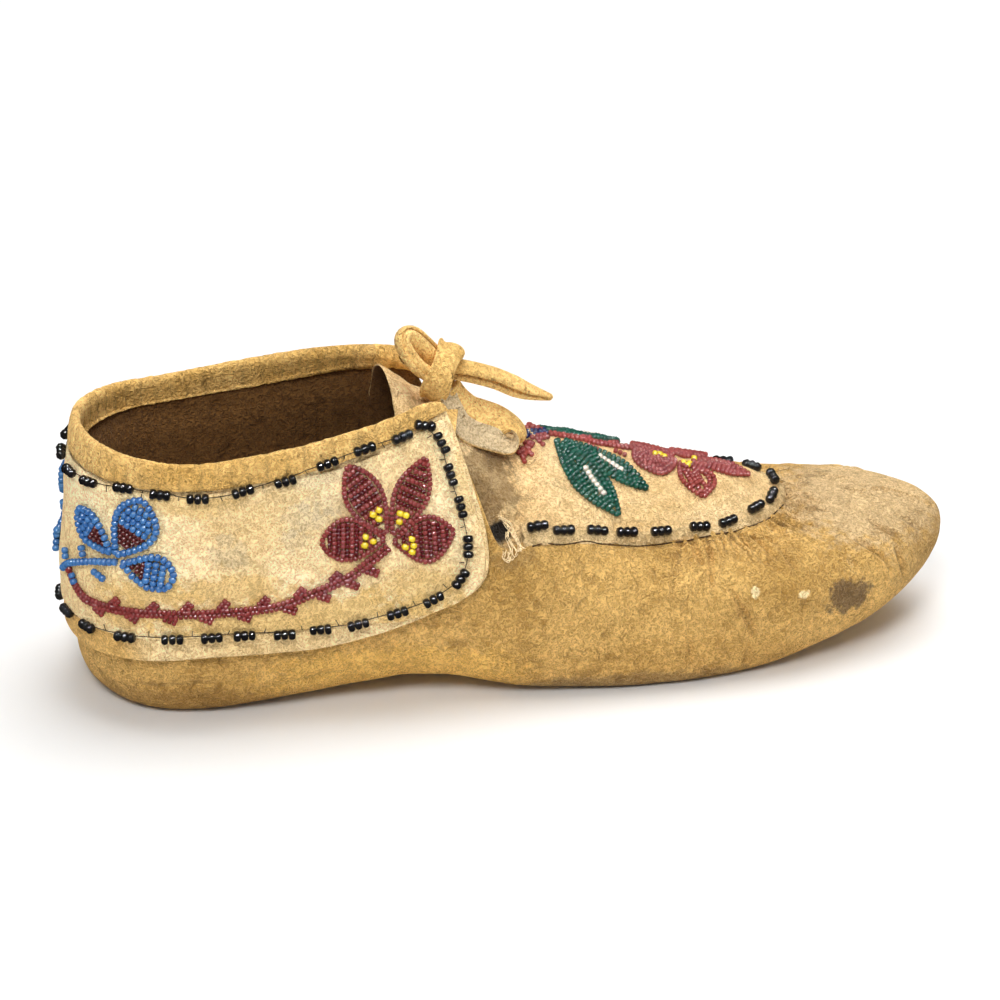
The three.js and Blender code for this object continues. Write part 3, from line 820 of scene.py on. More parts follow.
# The gathered rim of the bottom is drawn up over the vamp's edge.
RIM_REACH = 0.005
RIM_DRAWN = 0.0014
seam = [(a, -h, z) for a, h, z in VAMP_SEAM] + VAMP_SEAM[-2::-1]
seam_line = shoe_line(seam, SEAM_STEP)[1:-1]
seam_ahead = unit(np.gradient(seam_line, axis=0))
seam_in = unit(np.stack([-seam_ahead[:, 1], seam_ahead[:, 0], 0 * seam_ahead[:, 0]], axis=1))
seam_spots = line_tree(seam_line)
rim_places = places_of(bottom)
for i, place in enumerate(rim_places):
    _, nearest, apart = seam_spots.find(place)
    if apart < RIM_REACH:
        drawn = (1 - (apart / RIM_REACH) ** 2) ** 2
        rim_places[i] += drawn * RIM_DRAWN * (seam_in[nearest] + np.array((0, 0, 1)))
set_places(bottom, rim_places)
seam_line = seam_line + RIM_DRAWN * 0.8 * seam_in

# The welt: the vamp's edge, turned under and whipped down, so that it bridges to the gathered rim.
WELT_WIDE = 0.0019
WELT_THICK = 0.0007
WELT_POINTS = 8
WELT_CROWN = 0.00035
WELT_FOOT = 0.0002
WELT_NOTCH = 0.0003
WELT_TAPER = 10
WHIP_PITCH = 0.0052


def evened(rows, passes):
    """Rows of places, each drawn towards its neighbours a number of times."""
    for _ in range(passes):
        rows[1:-1] = 0.25 * rows[:-2] + 0.5 * rows[1:-1] + 0.25 * rows[2:]
    return rows


welt_tree = surface_of(vamp, bottom)
welt_rings = []
for i, (place, inward) in enumerate(zip(seam_line, seam_in)):
    notch = 0.5 + 0.5 * math.cos(2 * math.pi * i * SEAM_STEP / WHIP_PITCH)
    ending = min(1.0, 0.5 + min(i, len(seam_line) - 1 - i) / WELT_TAPER)
    across = np.linspace(-WELT_FOOT - WELT_NOTCH * notch, WELT_WIDE * ending, WELT_POINTS)
    spots = [place + reach * inward for reach in across]
    hits = [drop_on(welt_tree, spot)[0] for spot in spots]
    ground = np.array([hit.z if hit else place[2] for hit in hits])
    bridge = np.linspace(max(ground[0], place[2] - 0.001), ground[-1], WELT_POINTS)
    crown = np.sin(math.pi * np.linspace(0.04, 0.96, WELT_POINTS)) ** 0.6
    top = np.maximum(ground, bridge) + (WELT_CROWN + WELT_NOTCH * notch) * crown
    upper = np.array([(*spot[:2], height) for spot, height in zip(spots, top)])
    lower = upper[::-1] - (0, 0, WELT_THICK)
    welt_rings.append(np.vstack([upper, lower]))
welt_rings = evened(np.array(welt_rings), 5)
welt = new_piece("vamp_welt", welt_rings.reshape(-1, 3), ring_faces(*welt_rings.shape[:2]))
subdivide(welt, 1)
welt.data.materials.append(hide_finish("welt_hide", (0.78, 0.58, 0.31), (0.60, 0.42, 0.20)))
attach(welt, "root")

VAMP_COLOURS = ((0.92, 0.70, 0.39), (0.75, 0.51, 0.235))
# Soil on the tongue, darkened further as painted shade under the bow.
RUBBED_SOIL_AND_SHADE = (0.22, 0.135, 0.055)
VAMP_STAIN = (0.64, 0.42, 0.17)
HOLE = (115.3, -30.8, 48.6)
# The painted shade of the hole's opening.
HOLE_SHADE = (0.02, 0.016, 0.012)
# Patches on the instep: soil that is also painted shade under the bow, the hole's painted shade, and stains.
INSTEP_SOIL_AND_SHADE = [
    ((114, -20, 60), (11, 14, 12), 0.9, 0.7, RUBBED_SOIL_AND_SHADE),
    ((111, -26, 54), (7, 10, 11), 0.9, 0.7, RUBBED_SOIL_AND_SHADE),
    ((117, -10, 65), (10, 9, 7), 0.9, 0.6, RUBBED_SOIL_AND_SHADE),
    ((119, -26, 53), (3, 9, 8), 0.8, 0.3, RUBBED_SOIL_AND_SHADE),
    ((124, -33, 46), (7, 6, 6), 0.9, 0.4, (0.42, 0.30, 0.15)),
    # The hole's dark opening, painted on as shade where the tongue is dented.
    (HOLE, (3.9, 9, 3.1), 0.35, 0.97, HOLE_SHADE),
    (HOLE, (3.7, 9, 2.9), 0.35, 0.97, HOLE_SHADE),
    ((156, -25, 46), (8, 6, 5), 1.2, 0.3, VAMP_STAIN),
    ((150, 24, 47), (10, 7, 6), 1.2, 0.3, VAMP_STAIN),
    ((114, 20, 60), (11, 14, 12), 0.9, 0.5, RUBBED_SOIL_AND_SHADE),
    ((111, 26, 54), (7, 10, 11), 0.9, 0.5, RUBBED_SOIL_AND_SHADE),
]
vamp.data.materials.append(hide_finish("vamp_hide", *VAMP_COLOURS, grain=0.9, patches=INSTEP_SOIL_AND_SHADE))


# The tongue: an arch of the vamp's hide over the instep, lapped under the vamp. It is soiled where the cuff
# rubs it, and the same patches paint shade under the bow; it is rumpled behind the vamp, and dented where it
# is torn near the cuff, with the hole's dark opening painted on as shade.
RUMPLE_TO = 123
RUMPLE_FADE = 8
RUMPLE_RANGE = (-0.0011, 0.0006)
HOLE_WIDE = 0.0026
HOLE_DEEP = 0.0009
in_tongue = inside_of(tongue, height=35)
tongue_places = places_of(tongue)
rumple = np.clip(wrinkles(tongue, (0.011, 0.0012, 2.9), (0.0045, 0.0007, 5.3)), *RUMPLE_RANGE)
rumple *= np.clip((RUMPLE_TO - tongue_places[:, 0] * 1000 - HEEL_TO_MIDDLE) / RUMPLE_FADE, 0, 1)
from_hole = np.linalg.norm(tongue_places - shoe_place(*HOLE), axis=1)
rumple -= HOLE_DEEP * np.exp(-((from_hole / HOLE_WIDE) ** 4))
move_out(tongue, rumple * (1 - in_tongue))
keep_value(tongue, "inside", in_tongue)
tongue.data.materials.append(hide_finish("tongue_hide", *VAMP_COLOURS, grain=0.9, patches=INSTEP_SOIL_AND_SHADE))


# The cuff: the turned-down ankle flap of pale hide. Only its margin shows, at the hem and the front edges,
# and round the heel that margin is a piece of darker hide.
cuff = hide_over("cuff", "cuff_hide", 2)
cuff_wave = np.maximum(wrinkles(cuff, (0.02, 0.0006, 5.5)), 0)
move_out(cuff, cuff_wave * (1 - inside_of(cuff, height=50)))
keep_value(cuff, "inside", inside_of(cuff, height=50))
cuff.data.materials.append(hide_finish(
    "pale_hide", (0.90, 0.70, 0.39), (0.78, 0.56, 0.27), grain=0.8,
    patches=[((-3, 0, 20), (24, 60, 18), 0.06, 0.9, (0.66, 0.40, 0.12))],
))


# The cuff's panel: a cream hide sewn on the cuff, which carries the flowers. It is mottled, smudged by
# handling, and puffed in soft folds between its stitched edges.
PANEL_SWELL = 0.0002
panel = hide_over("cuff_panel", "cuff_panel_hide", 2)
in_panel = inside_of(panel, height=50)
panel_wave = wrinkles(panel, (0.022, 0.0012, 8.8), (0.008, 0.0004, 1.2))
move_out(panel, np.maximum(panel_wave + PANEL_SWELL, 0) * (1 - in_panel))
BOTH_SIDES_FOLDS = [
    ([(9, 26, 45.6), (17, 31, 43.5), (26, 34, 42.4)], 0.8, 1.3, False),
    ([(28, 34, 66), (45, 35, 67.5), (60, 36, 68)], 0.5, 1.5, False),
    ([(60, 36, 52), (68, 38, 49), (78, 39, 48)], 0.5, 1.6, False),
]
panel_folds = [([(30, -34, 40), (42, -35, 40.5), (52, -36, 41)], 0.5, 1.3, False)]
for hand in (-1, 1):
    panel_folds += [([(a, hand * h, z) for a, h, z in route], *press) for route, *press in BOTH_SIDES_FOLDS]
# The folds' troughs are painted with a paler shade than the other hides' creases.
press_creases(panel, panel_folds)
keep_value(panel, "inside", in_panel)
SMUDGE = (0.47, 0.40, 0.29)
GOLD_STAIN = (0.74, 0.50, 0.19)
panel.data.materials.append(hide_finish(
    "panel_hide", (1.0, 0.83, 0.51), (0.83, 0.60, 0.29), grain=0.7, wrinkled=0.6, crease_shade=(0.42, 0.30, 0.15),
    patches=[
        ((60, -36, 61), (9, 20, 5), 1.3, 0.3, SMUDGE),
        ((38, -34, 53), (5, 20, 6), 1.5, 0.3, SMUDGE),
        ((56, -36, 55), (5, 20, 4), 1.5, 0.25, SMUDGE),
        ((70, -38, 64), (14, 20, 4), 1.3, 0.25, SMUDGE),
        ((45, -36, 73), (34, 20, 4), 1.2, 0.25, SMUDGE),
        ((18, -30, 41), (13, 20, 4), 1.1, 0.75, GOLD_STAIN),
        ((38, -35, 42), (18, 20, 5), 1.3, 0.7, GOLD_STAIN),
        ((10, -26, 34), (10, 20, 6), 1.1, 0.7, GOLD_STAIN),
        ((28, -34, 67), (12, 20, 4), 1.2, 0.6, GOLD_STAIN),
        ((60, -36, 32), (50, 20, 7), 1.2, 0.85, GOLD_STAIN),
        ((92, -38, 38), (16, 20, 7), 1.2, 0.65, GOLD_STAIN),
        ((72, -38, 48), (9, 20, 6), 1.2, 0.45, GOLD_STAIN),
        ((106, -38, 66), (5, 20, 12), 1.2, 0.55, GOLD_STAIN),
        ((60, 36, 61), (12, 20, 7), 1.3, 0.3, SMUDGE),
        ((30, 34, 52), (8, 20, 7), 1.3, 0.3, SMUDGE),
        ((60, 36, 32), (50, 20, 7), 1.2, 0.8, GOLD_STAIN),
        ((90, 38, 60), (16, 20, 8), 1.2, 0.5, GOLD_STAIN),
    ],
))


# The collar's binding: a strip of golden hide folded over the tops of the ankle and the cuff, and gathered a
# little, so that it stands in fine upright wrinkles.
HEEL_CENTRE = 31.5
CHART_RADIUS = 34.0
CHART_SPREAD = math.atan2(8, 78.5)
CHART_QUARTER = CHART_RADIUS * math.pi / 2
RIM_STEP = 2.0
RIM_NEAR = 2.5
RIM_ROUND = 131
RIM_LOWEST = 0.078
COLLAR_KEEP = 0.52
COLLAR_DEEP = (0.018, 0.007)
COLLAR_ROUND = 128
GATHER = 5.2
GATHER_LONG = 0.009
GATHER_DEEP = 0.0005
RIPPLE_DEEP = 0.00022
binding = hide_over("collar_binding", "collar_binding_hide", 3)


def chart_of(places):
    """Where places lie on the flat chart of the cuff, round from the heel's back, and the ways out there."""
    along = places[:, 0] * 1000 + HEEL_TO_MIDDLE
    side = places[:, 1] * 1000 - CENTRE_LINE
    hand = np.where(side < 0, -1.0, 1.0)
    turn = np.arctan2(np.abs(side), HEEL_CENTRE - along)
    at_heel = along < HEEL_CENTRE
    run = CHART_QUARTER + (along - HEEL_CENTRE) / math.cos(CHART_SPREAD)
    out_along = np.where(at_heel, -np.cos(turn), -math.sin(CHART_SPREAD))
    out_side = np.where(at_heel, np.sin(turn), math.cos(CHART_SPREAD))
    out = np.stack([out_along, hand * out_side, 0 * run], axis=1)
    return np.where(at_heel, CHART_RADIUS * turn, run), out


# The hides at the collar are pressed thin by the stitching: what lies inside is drawn out to the outer face.
binding_places = places_of(binding)
rim_round, _ = chart_of(binding_places)
bins = np.arange(0, RIM_ROUND, RIM_STEP)
rim_top = np.array([
    binding_places[np.abs(rim_round - u) < RIM_NEAR, 2].max(initial=RIM_LOWEST)
    for u in bins
])
collar_tree = surface_of(binding, cuff, panel)
for piece in (bottom, cuff, binding):
    places = places_of(piece)
    round_heel, out = chart_of(places)
    top = np.interp(round_heel, bins, rim_top)
    share = eased((places[:, 2] - top + COLLAR_DEEP[0]) / (COLLAR_DEEP[0] - COLLAR_DEEP[1]))
    for i in np.flatnonzero(share * (round_heel < COLLAR_ROUND) > 0):
        start = places[i] + 0.03 * out[i]
        start[2] = min(start[2], top[i] - 0.003)
        hit = collar_tree.ray_cast(Vector(start), Vector(-out[i]))[0]
        if hit:
            deep = float((np.array(hit) - places[i])[:2] @ out[i][:2])
            places[i] += out[i] * np.clip(deep, 0, 0.008) * (1 - COLLAR_KEEP) * share[i]
    set_places(piece, places)

# Gathers: each stitch at the binding's lower edge draws in a short upright dent, and shade is painted
# into the dents, less where the ripples rise.
binding_places = places_of(binding)
round_heel, out = chart_of(binding_places)
below = np.clip((np.interp(round_heel, bins, rim_top) - binding_places[:, 2]) / GATHER_LONG, 0, 1)
drift = np.array([
    2.2 * noise.noise(Vector((u / 14, h, 4.4)))
    for u, h in zip(round_heel, np.sign(out[:, 1]))
])
dent = np.maximum(np.cos(2 * math.pi * (round_heel + drift) / GATHER), 0) ** 6 * (0.25 + 0.75 * below)
ripple = np.array([
    noise.noise(Vector((u / 2.6, h * 9, z / 0.011)))
    for u, h, z in zip(round_heel, out[:, 1], binding_places[:, 2])
])
move_out(binding, RIPPLE_DEEP * ripple - GATHER_DEEP * dent)
# Painted shade in each dent, lessened where the ripples rise.
keep_value(binding, "trough", np.clip(0.55 * dent - 0.2 * ripple, 0, 0.7))
binding.data.materials.append(hide_finish(
    "binding_hide", (0.96, 0.63, 0.235), (0.72, 0.43, 0.12), grain=1.2, wrinkled=0.8, pitted=0.6,
))

THONG_FLESH = (0.66, 0.52, 0.32)
thong_finish = hide_finish(
    "thong_hide", (0.96, 0.65, 0.25), (0.77, 0.48, 0.15), THONG_FLESH, wrinkled=0.4, pitted=0.8,
)
for piece in thong_pieces.values():
    piece.data.materials.append(thong_finish)


# The beadwork: glass beads, sewn down in rows on sinew. Black beads in threes edge the cuff's panel and the
# vamp, and each side of the cuff has a red flower on a long vine and a blue flower at the heel. A bead's size
# is its width and its length in millimetres.
BEADS = {
    "black": (3.0, 2.05),
    "blue": (2.15, 1.7),
    "red": (1.15, 1.2),
    "rose": (1.55, 1.3),
    "maroon": (1.6, 1.3),
    "green": (1.7, 1.42),
    "pink": (1.55, 1.3),
    "yellow": (2.1, 1.7),
    "white": (2.0, 1.5),
    "navy": (1.45, 1.12),
}
STAND_OFF = 40
ROW_STEP = 0.4
SHORT_ROW = 0.009
LOOSE_PITCH = 1.06
LOOK_AHEAD = 0.0004
sewn = {colour: [] for colour in BEADS}
bead_draw = random.Random(11)
ankle_tree = surface_of(panel, cuff, binding)
vamp_tree = surface_of(vamp, tongue)


def on_cuff(hand):
    """A chart of the cuff laid flat: millimetres round from the back of the heel, and up from the floor."""
    def place(spot):
        round_heel, height = spot
        if round_heel < CHART_QUARTER:
            turn = round_heel / CHART_RADIUS
            out = (-math.cos(turn), math.sin(turn))
            along, half = HEEL_CENTRE + CHART_RADIUS * out[0], CHART_RADIUS * out[1]
        else:
            run = round_heel - CHART_QUARTER
            out = (-math.sin(CHART_SPREAD), math.cos(CHART_SPREAD))
            along = HEEL_CENTRE + run * math.cos(CHART_SPREAD)
            half = CHART_RADIUS + run * math.sin(CHART_SPREAD)
        start = shoe_place(along + STAND_OFF * out[0], hand * (half + STAND_OFF * out[1]), height)
        return ankle_tree.ray_cast(start, Vector((-out[0], -hand * out[1], 0)))[:2]
    return place


def on_vamp(hand):
    """A chart of the vamp seen from above: millimetres from the heel's back, and off the centre line."""
    def place(spot):
        return drop_on(vamp_tree, shoe_place(spot[0], hand * spot[1], 0))
    return place


def cast_route(flat, chart):
    """Where the spots of a route fall on the hide, and the ways that face out there."""
    hits = [hit for hit in map(chart, flat) if hit[0] is not None]
    return np.array([hit[0] for hit in hits]), np.array([hit[1] for hit in hits])


def at_stops(stops, runs, rows):
    """Rows of places, taken at some stops along their run."""
    return np.stack([np.interp(stops, runs, row) for row in rows.T], axis=1)


def sew_row(colour, route, chart):
    """A row of beads along a route on a chart, as many as fit side by side. A short row is straight."""
    _, long = BEADS[colour]
    if len(route) > 2:
        flat = smooth_line(route, ROW_STEP)
    else:
        count = max(2, math.ceil(math.dist(route[0], route[-1]) / ROW_STEP))
        flat = np.linspace(route[0], route[-1], count + 1)
    spots, normals = cast_route(flat, chart)
    if len(spots) < 2:
        return
    if np.linalg.norm(spots[-1] - spots[0]) < SHORT_ROW:
        steps = np.linspace(-1, 1, len(spots))
        spots = np.stack([np.polyval(np.polyfit(steps, row, 1), steps) for row in spots.T], axis=1)
        normals = np.tile(unit(normals.mean(axis=0)), (len(spots), 1))
    runs = np.concatenate([[0], np.cumsum(np.linalg.norm(np.diff(spots, axis=0), axis=1))])
    count = max(1, round(runs[-1] * 1000 / long))
    pitch = min(runs[-1] / count, LOOSE_PITCH * long / 1000)
    stops = runs[-1] / 2 + (np.arange(count) - (count - 1) / 2) * pitch
    ups = unit(at_stops(stops, runs, normals))
    begins = at_stops(np.clip(stops - LOOK_AHEAD, 0, runs[-1]), runs, spots)
    ends = at_stops(np.clip(stops + LOOK_AHEAD, 0, runs[-1]), runs, spots)
    for centre, up, ahead in zip(at_stops(stops, runs, spots), ups, unit(ends - begins)):
        sewn[colour].append((centre, unit(ahead - ahead.dot(up) * up), up))


def sew_beside(colour, spot, reach, chart):
    """A short row with a spot at its middle."""
    sew_row(colour, [np.array(spot) - reach, np.array(spot) + reach], chart)


def sew_one(colour, spot, chart, turn=0.0):
    """One bead by itself, with its hole at an angle on the chart."""
    sew_beside(colour, spot, np.array([math.cos(turn), math.sin(turn)]) * BEADS[colour][1] / 2, chart)


def sew_border(border, chart):
    """Black beads in threes, each three in line with the spots before and after it. The ends have none."""
    for before, here, after in zip(border, border[1:], border[2:]):
        sew_beside("black", here, 1.5 * BEADS["black"][1] * unit(np.array(after) - np.array(before)), chart)


def left_of(way):
    """A unit step to the left of each way."""
    way = unit(way)
    return np.stack([-way[..., 1], way[..., 0]], axis=-1)


def petal_outline(base, tip, left, right, full, blunt):
    """The two edges of a petal: base and tip, its half widths, the share where it is widest, and a blunt tip
    below 1."""
    shares = np.linspace(0, 1, 25)
    swell = np.abs(np.sin(math.pi * shares ** (math.log(0.5) / math.log(full)))) ** blunt
    middle = base + shares[:, None] * (tip - base)
    beside = left_of(tip - base)
    return middle + (left * swell)[:, None] * beside, middle - (right * swell)[:, None] * beside


def sew_petal(chart, base, tip, left, right, full, blunt, edge, fill, core=None, core_to=0.0, fill_from=0.16):
    """A petal: an outlining row, filled by bars across it that take turns at the fill's colours, with the
    bars near its base in the core's colour."""
    base, tip = np.array(base, dtype=float), np.array(tip, dtype=float)
    edges = petal_outline(base, tip, left, right, full, blunt)
    for outline in edges:
        sew_row(edge, outline, chart)
    long = math.dist(base, tip)
    inset = 0.58 * BEADS[edge][0]
    run = fill_from * long
    bars = 0
    while run < long - 1.2 * inset:
        cored = core and run / long < core_to
        colour = core if cored else fill[bars % len(fill)]
        bars += 1
        following = core if cored else fill[bars % len(fill)]
        near, far = [at_stops([run / long], np.linspace(0, 1, len(outline)), outline)[0] for outline in edges]
        wide = np.linalg.norm(far - near)
        if wide > 2.4 * inset:
            side = (far - near) / wide
            sew_row(colour, [near + inset * side, far - inset * side], chart)
        run += (BEADS[colour][0] + BEADS[following][0]) * 0.46


def sew_leaf(chart, base, tip, left, right, full, blunt, edge, spine=None, spine_span=(0.3, 0.75)):
    """A leaf: rows that follow its two edges, one inside the other, and a row down its middle, which may be
    of another colour in part."""
    base, tip = np.array(base, dtype=float), np.array(tip, dtype=float)
    beside = left_of(tip - base)
    for side, half in ((1, left), (-1, right)):
        outer = petal_outline(base, tip, half, half, full, blunt)[0]
        middle = np.linspace(base, tip, len(outer))
        offset = np.abs((outer - middle) @ beside)
        rows = max(1, round(half / (0.94 * BEADS[edge][0])))
        pitch = half / rows
        for row in range(rows):
            kept = offset - row * pitch > 0.3 * pitch if row else offset >= 0
            if kept.sum() > 2:
                sew_row(edge, (middle + side * (offset - row * pitch)[:, None] * beside)[kept], chart)
    stops = (0.08, *spine_span, 0.92)
    for colour, begin, end in zip((edge, spine or edge, edge), stops, stops[1:]):
        sew_row(colour, [base + begin * (tip - base), base + end * (tip - base)], chart)


def sew_leaflet(colour, root, reach, chart):
    """A leaflet on a vine: two short rows side by side."""
    root, reach = np.array(root), np.array(reach)
    beside = left_of(reach) * 0.46 * BEADS[colour][0]
    for side in (-1, 1):
        sew_row(colour, [root + side * beside, root + reach + 0.7 * side * beside], chart)


def sew_double(colour, route, shift, chart):
    """Two rows side by side along a route, each at a distance from it."""
    route = np.array(route, dtype=float)
    beside = left_of(np.gradient(route, axis=0))
    for side in (-shift, shift):
        sew_row(colour, route + side * beside, chart)


# The cuff's chart. The border runs along the binding, down the front edge and back along the hem. Its first
# spot is round the heel. A petal has a base, a tip, two half widths, its fullest share and its bluntness.
BORDER = [
    (-4, 69), (7, 69), (18.4, 70), (30.4, 70.6), (41.7, 70.4), (52.2, 69.4), (64.2, 70.4), (75.8, 73),
    (87.5, 76.1), (98, 78.3), (108.6, 79.6), (115.4, 80.2), (119.9, 75.4), (122, 67.6), (124.4, 59.6),
    (126, 49.6), (123.6, 41.2), (115.9, 35.6), (105.9, 32.5), (95, 29.6), (84.6, 28.4), (74.6, 28.2),
    (63.5, 28.8), (54.5, 28.8), (44.1, 28.6), (31.3, 28), (17.8, 27), (6, 26.4),
]
RED_PETALS = [
    ((103.4, 55.1), (93.3, 74), 5, 4.7, 0.56, 0.75),
    ((105, 54.7), (115.2, 73), 4.5, 5, 0.55, 0.9),
    ((102.9, 53.5), (85.5, 54.1), 5.7, 6.2, 0.6, 0.7),
    ((105.3, 52.7), (122.2, 53.6), 5, 7, 0.55, 0.85),
]
YELLOW_SPOTS = [
    (99.7, 60.7), (101.4, 61.7), (101.4, 59.3), (107.3, 60.1), (108.9, 59.4), (107, 58), (97.6, 54.7),
    (99.6, 53.3), (97.3, 52.4), (110.2, 53), (110.7, 51.1), (108.4, 51), (110.2, 49.4),
]
YELLOW_TURN = 1.2
VINE = [
    (104, 51.4), (99, 47.6), (92, 43), (83, 39.4), (71, 36.3), (55, 35.6), (42, 35.8), (32, 35.3), (23, 35.1),
    (16, 35.6), (11.5, 38.2), (8.8, 41),
]
LEAFLETS_OVER = [(27, 35.9), (38, 36.3), (47, 36.3), (57, 36.4), (68, 36.8), (78, 38.6), (88, 42.3)]
LEAFLETS_UNDER = [
    (21, 34.3), (31.5, 34.7), (42, 35), (51.5, 34.9), (62, 35), (74.5, 36.2), (84, 38.9), (92, 42),
    (97.5, 45.6),
]
OVER_REACH = (2.3, 2.7)
UNDER_REACH = (3.5, -1.7)
VINE_HALF = 0.66
BLUE_PETALS = [
    ((27, 51.6), (13.4, 60.2), 4.4, 3.6, 0.62, 0.7),
    ((28.6, 51.4), (36.8, 68.4), 5, 7.2, 0.6, 0.72),
    ((30.3, 49.3), (45, 46.7), 4.9, 4.9, 0.66, 0.7),
]
BLUE_STEM = [(29, 49.4), (19, 46.7), (9.4, 42.6), (5.5, 39.4)]
BLUE_LEAFLETS = [
    [(16.6, 47.2), (15.4, 50.4)], [(20.5, 44.6), (25, 43.2)], [(11, 40.6), (12.8, 37.6)],
    [(7.4, 43), (6.2, 46)],
]
for hand in (-1, 1):
    chart = on_cuff(hand)
    first = BORDER[:1] if hand < 0 else BORDER[1:2]
    sew_border(first + BORDER[1:] + BORDER[-1:], chart)
    for petal in RED_PETALS:
        # The dark red bars between the rose ones stand partly for the shade between the rows.
        sew_petal(chart, *petal, edge="rose", fill=("red", "rose"))
    for spot in YELLOW_SPOTS:
        sew_one("yellow", spot, chart, YELLOW_TURN)
    sew_double("rose", VINE, VINE_HALF, chart)
    for spot in LEAFLETS_OVER:
        sew_leaflet("rose", spot, OVER_REACH, chart)
    for spot in LEAFLETS_UNDER:
        sew_leaflet("rose", spot, UNDER_REACH, chart)
    for petal in BLUE_PETALS:
        sew_petal(chart, *petal, edge="blue", fill=("blue",), core="maroon", core_to=0.5, fill_from=0.22)
    for route in [BLUE_STEM] + BLUE_LEAFLETS:
        sew_row("blue", route, chart)

# The vamp's chart. Two green leaves lie on each side of a stem on the crest, which ends in a pink flower.
VAMP_BORDER = [
    (125, 33.5), (132.4, 32.8), (142.4, 31.6), (151.2, 30.4), (161.8, 28.2), (173.7, 25.5), (183, 22.2),
    (193, 16), (199.6, 9.4),
]
VAMP_TIP = (202.6, 0)
LONG_LEAF = ((137.8, 4), (150.2, 25.9), 6.2, 4.6, 0.55, 0.9)
SMALL_LEAF = ((140.4, 3), (161.5, 15.4), 4.2, 4, 0.55, 0.9)
FEATHER = [(125.9, 8.8), (130.5, 5.2), (136, 2.2)]
FEATHER_HALF = 0.62
FEATHER_VANES = [
    [(126.8, 9.2), (127, 11.2)], [(129.4, 7.2), (130.2, 9.6)], [(132.2, 5.4), (133.6, 7.6)],
    [(128, 6.2), (126, 5)], [(130.8, 4.2), (129, 3)],
]
STEM_LEAFLETS = [[(147, 2.4), (150.4, 4.6)], [(155, 2.6), (158.6, 4.6)]]
PINK_STEM = [(137, -0.3), (147, -0.1), (157, 0.3), (168, 0.1)]
STEM_PITCH = 1.3
NAVY_ROWS = [[(129.6, -1.6), (136.6, -1)], [(129.2, 0.2), (136.4, 0.2)], [(129.6, 2), (136.6, 1.4)]]
PINK_PETALS = [
    ((173.5, -0.6), (160.8, -6.6), 5.4, 5.4, 0.55, 0.6),
    ((175, -2.4), (177.8, -16), 6.4, 3.6, 0.55, 0.9),
    ((179, -0.6), (195, -3.6), 3.8, 3.8, 0.45, 0.95),
    ((174, 2), (164.5, 10.6), 5, 5, 0.55, 0.65),
    ((177, 2.4), (183.5, 14.4), 5, 5, 0.55, 0.8),
]
PINK_SPOTS = [
    (167.6, -0.8), (169.2, -0.2), (170.4, -1), (175.4, -3.4), (177.2, -3.4), (176.4, -4.6), (179.8, 0.6),
]
for hand in (-1, 1):
    chart = on_vamp(hand)
    sew_border(VAMP_BORDER[:1] + VAMP_BORDER + [VAMP_TIP], chart)
    sew_leaf(chart, *LONG_LEAF, "green", "white", (0.44, 0.78))
    sew_leaf(chart, *SMALL_LEAF, "green", "white", (0.4, 0.7))
    sew_double("pink", FEATHER, FEATHER_HALF, chart)
    for route in FEATHER_VANES + STEM_LEAFLETS:
        sew_row("pink", route, chart)
chart = on_vamp(1)
tip_along, tip_side = VAMP_BORDER[-1]
sew_border([(tip_along, -tip_side), VAMP_TIP, (tip_along, tip_side)], chart)
for shift in (0, STEM_PITCH):
    sew_row("pink", [(along, side + shift) for along, side in PINK_STEM], chart)
for route in NAVY_ROWS:
    sew_row("navy", route, chart)
for petal in PINK_PETALS:
    sew_leaf(chart, *petal, edge="pink")
for spot in PINK_SPOTS:
    sew_one("yellow", spot, chart)


# The thread that the black beads of the cuff are strung on: sinew that dips into the hide between them and is
# caught by small stitches.
THREAD = 0.00013
THREAD_LIFT = 0.0001
THREAD_SIDES = 5


def thread_piece(name, threads, finish):
    """One piece of round threads: each has places, the ways that face out there, a radius and a lift."""
    places, faces = [], []
    for line, ups, thick, lift in threads:
        line = line + lift * ups
        aside = unit(np.cross(ups, unit(np.gradient(line, axis=0))))
        for i in range(len(line)):
            start = len(places)
            for turn in 2 * math.pi * np.arange(THREAD_SIDES) / THREAD_SIDES:
                places.append(line[i] + thick * (math.cos(turn) * aside[i] + math.sin(turn) * ups[i]))
            for j in range(THREAD_SIDES if i else 0):
                k = (j + 1) % THREAD_SIDES
                faces.append((start + j, start + k, start - THREAD_SIDES + k, start - THREAD_SIDES + j))
    piece = new_piece(name, places, faces)
    piece.data.materials.append(finish)
    return piece


border_threads = []
for hand in (-1, 1):
    chart = on_cuff(hand)
    border_threads.append((*cast_route(smooth_line(BORDER[1:], 0.9), chart), THREAD, THREAD_LIFT))
    for before, here in zip(BORDER[1:], BORDER[2:]):
        middle = (np.array(before) + np.array(here)) / 2
        ahead = unit(np.array(here) - np.array(before))
        tick = -left_of(ahead) * bead_draw.uniform(1, 1.9) + ahead * bead_draw.uniform(-0.7, 0.7)
        route = smooth_line([middle, middle + 0.5 * tick, middle + tick], 0.5)
        border_threads.append((*cast_route(route, chart), THREAD, THREAD_LIFT))
thread_finish = hide_finish("thread_fibre", (0.10, 0.068, 0.04), (0.06, 0.04, 0.022))
border_thread = thread_piece("border_thread", border_threads, thread_finish)
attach(border_thread, "root")


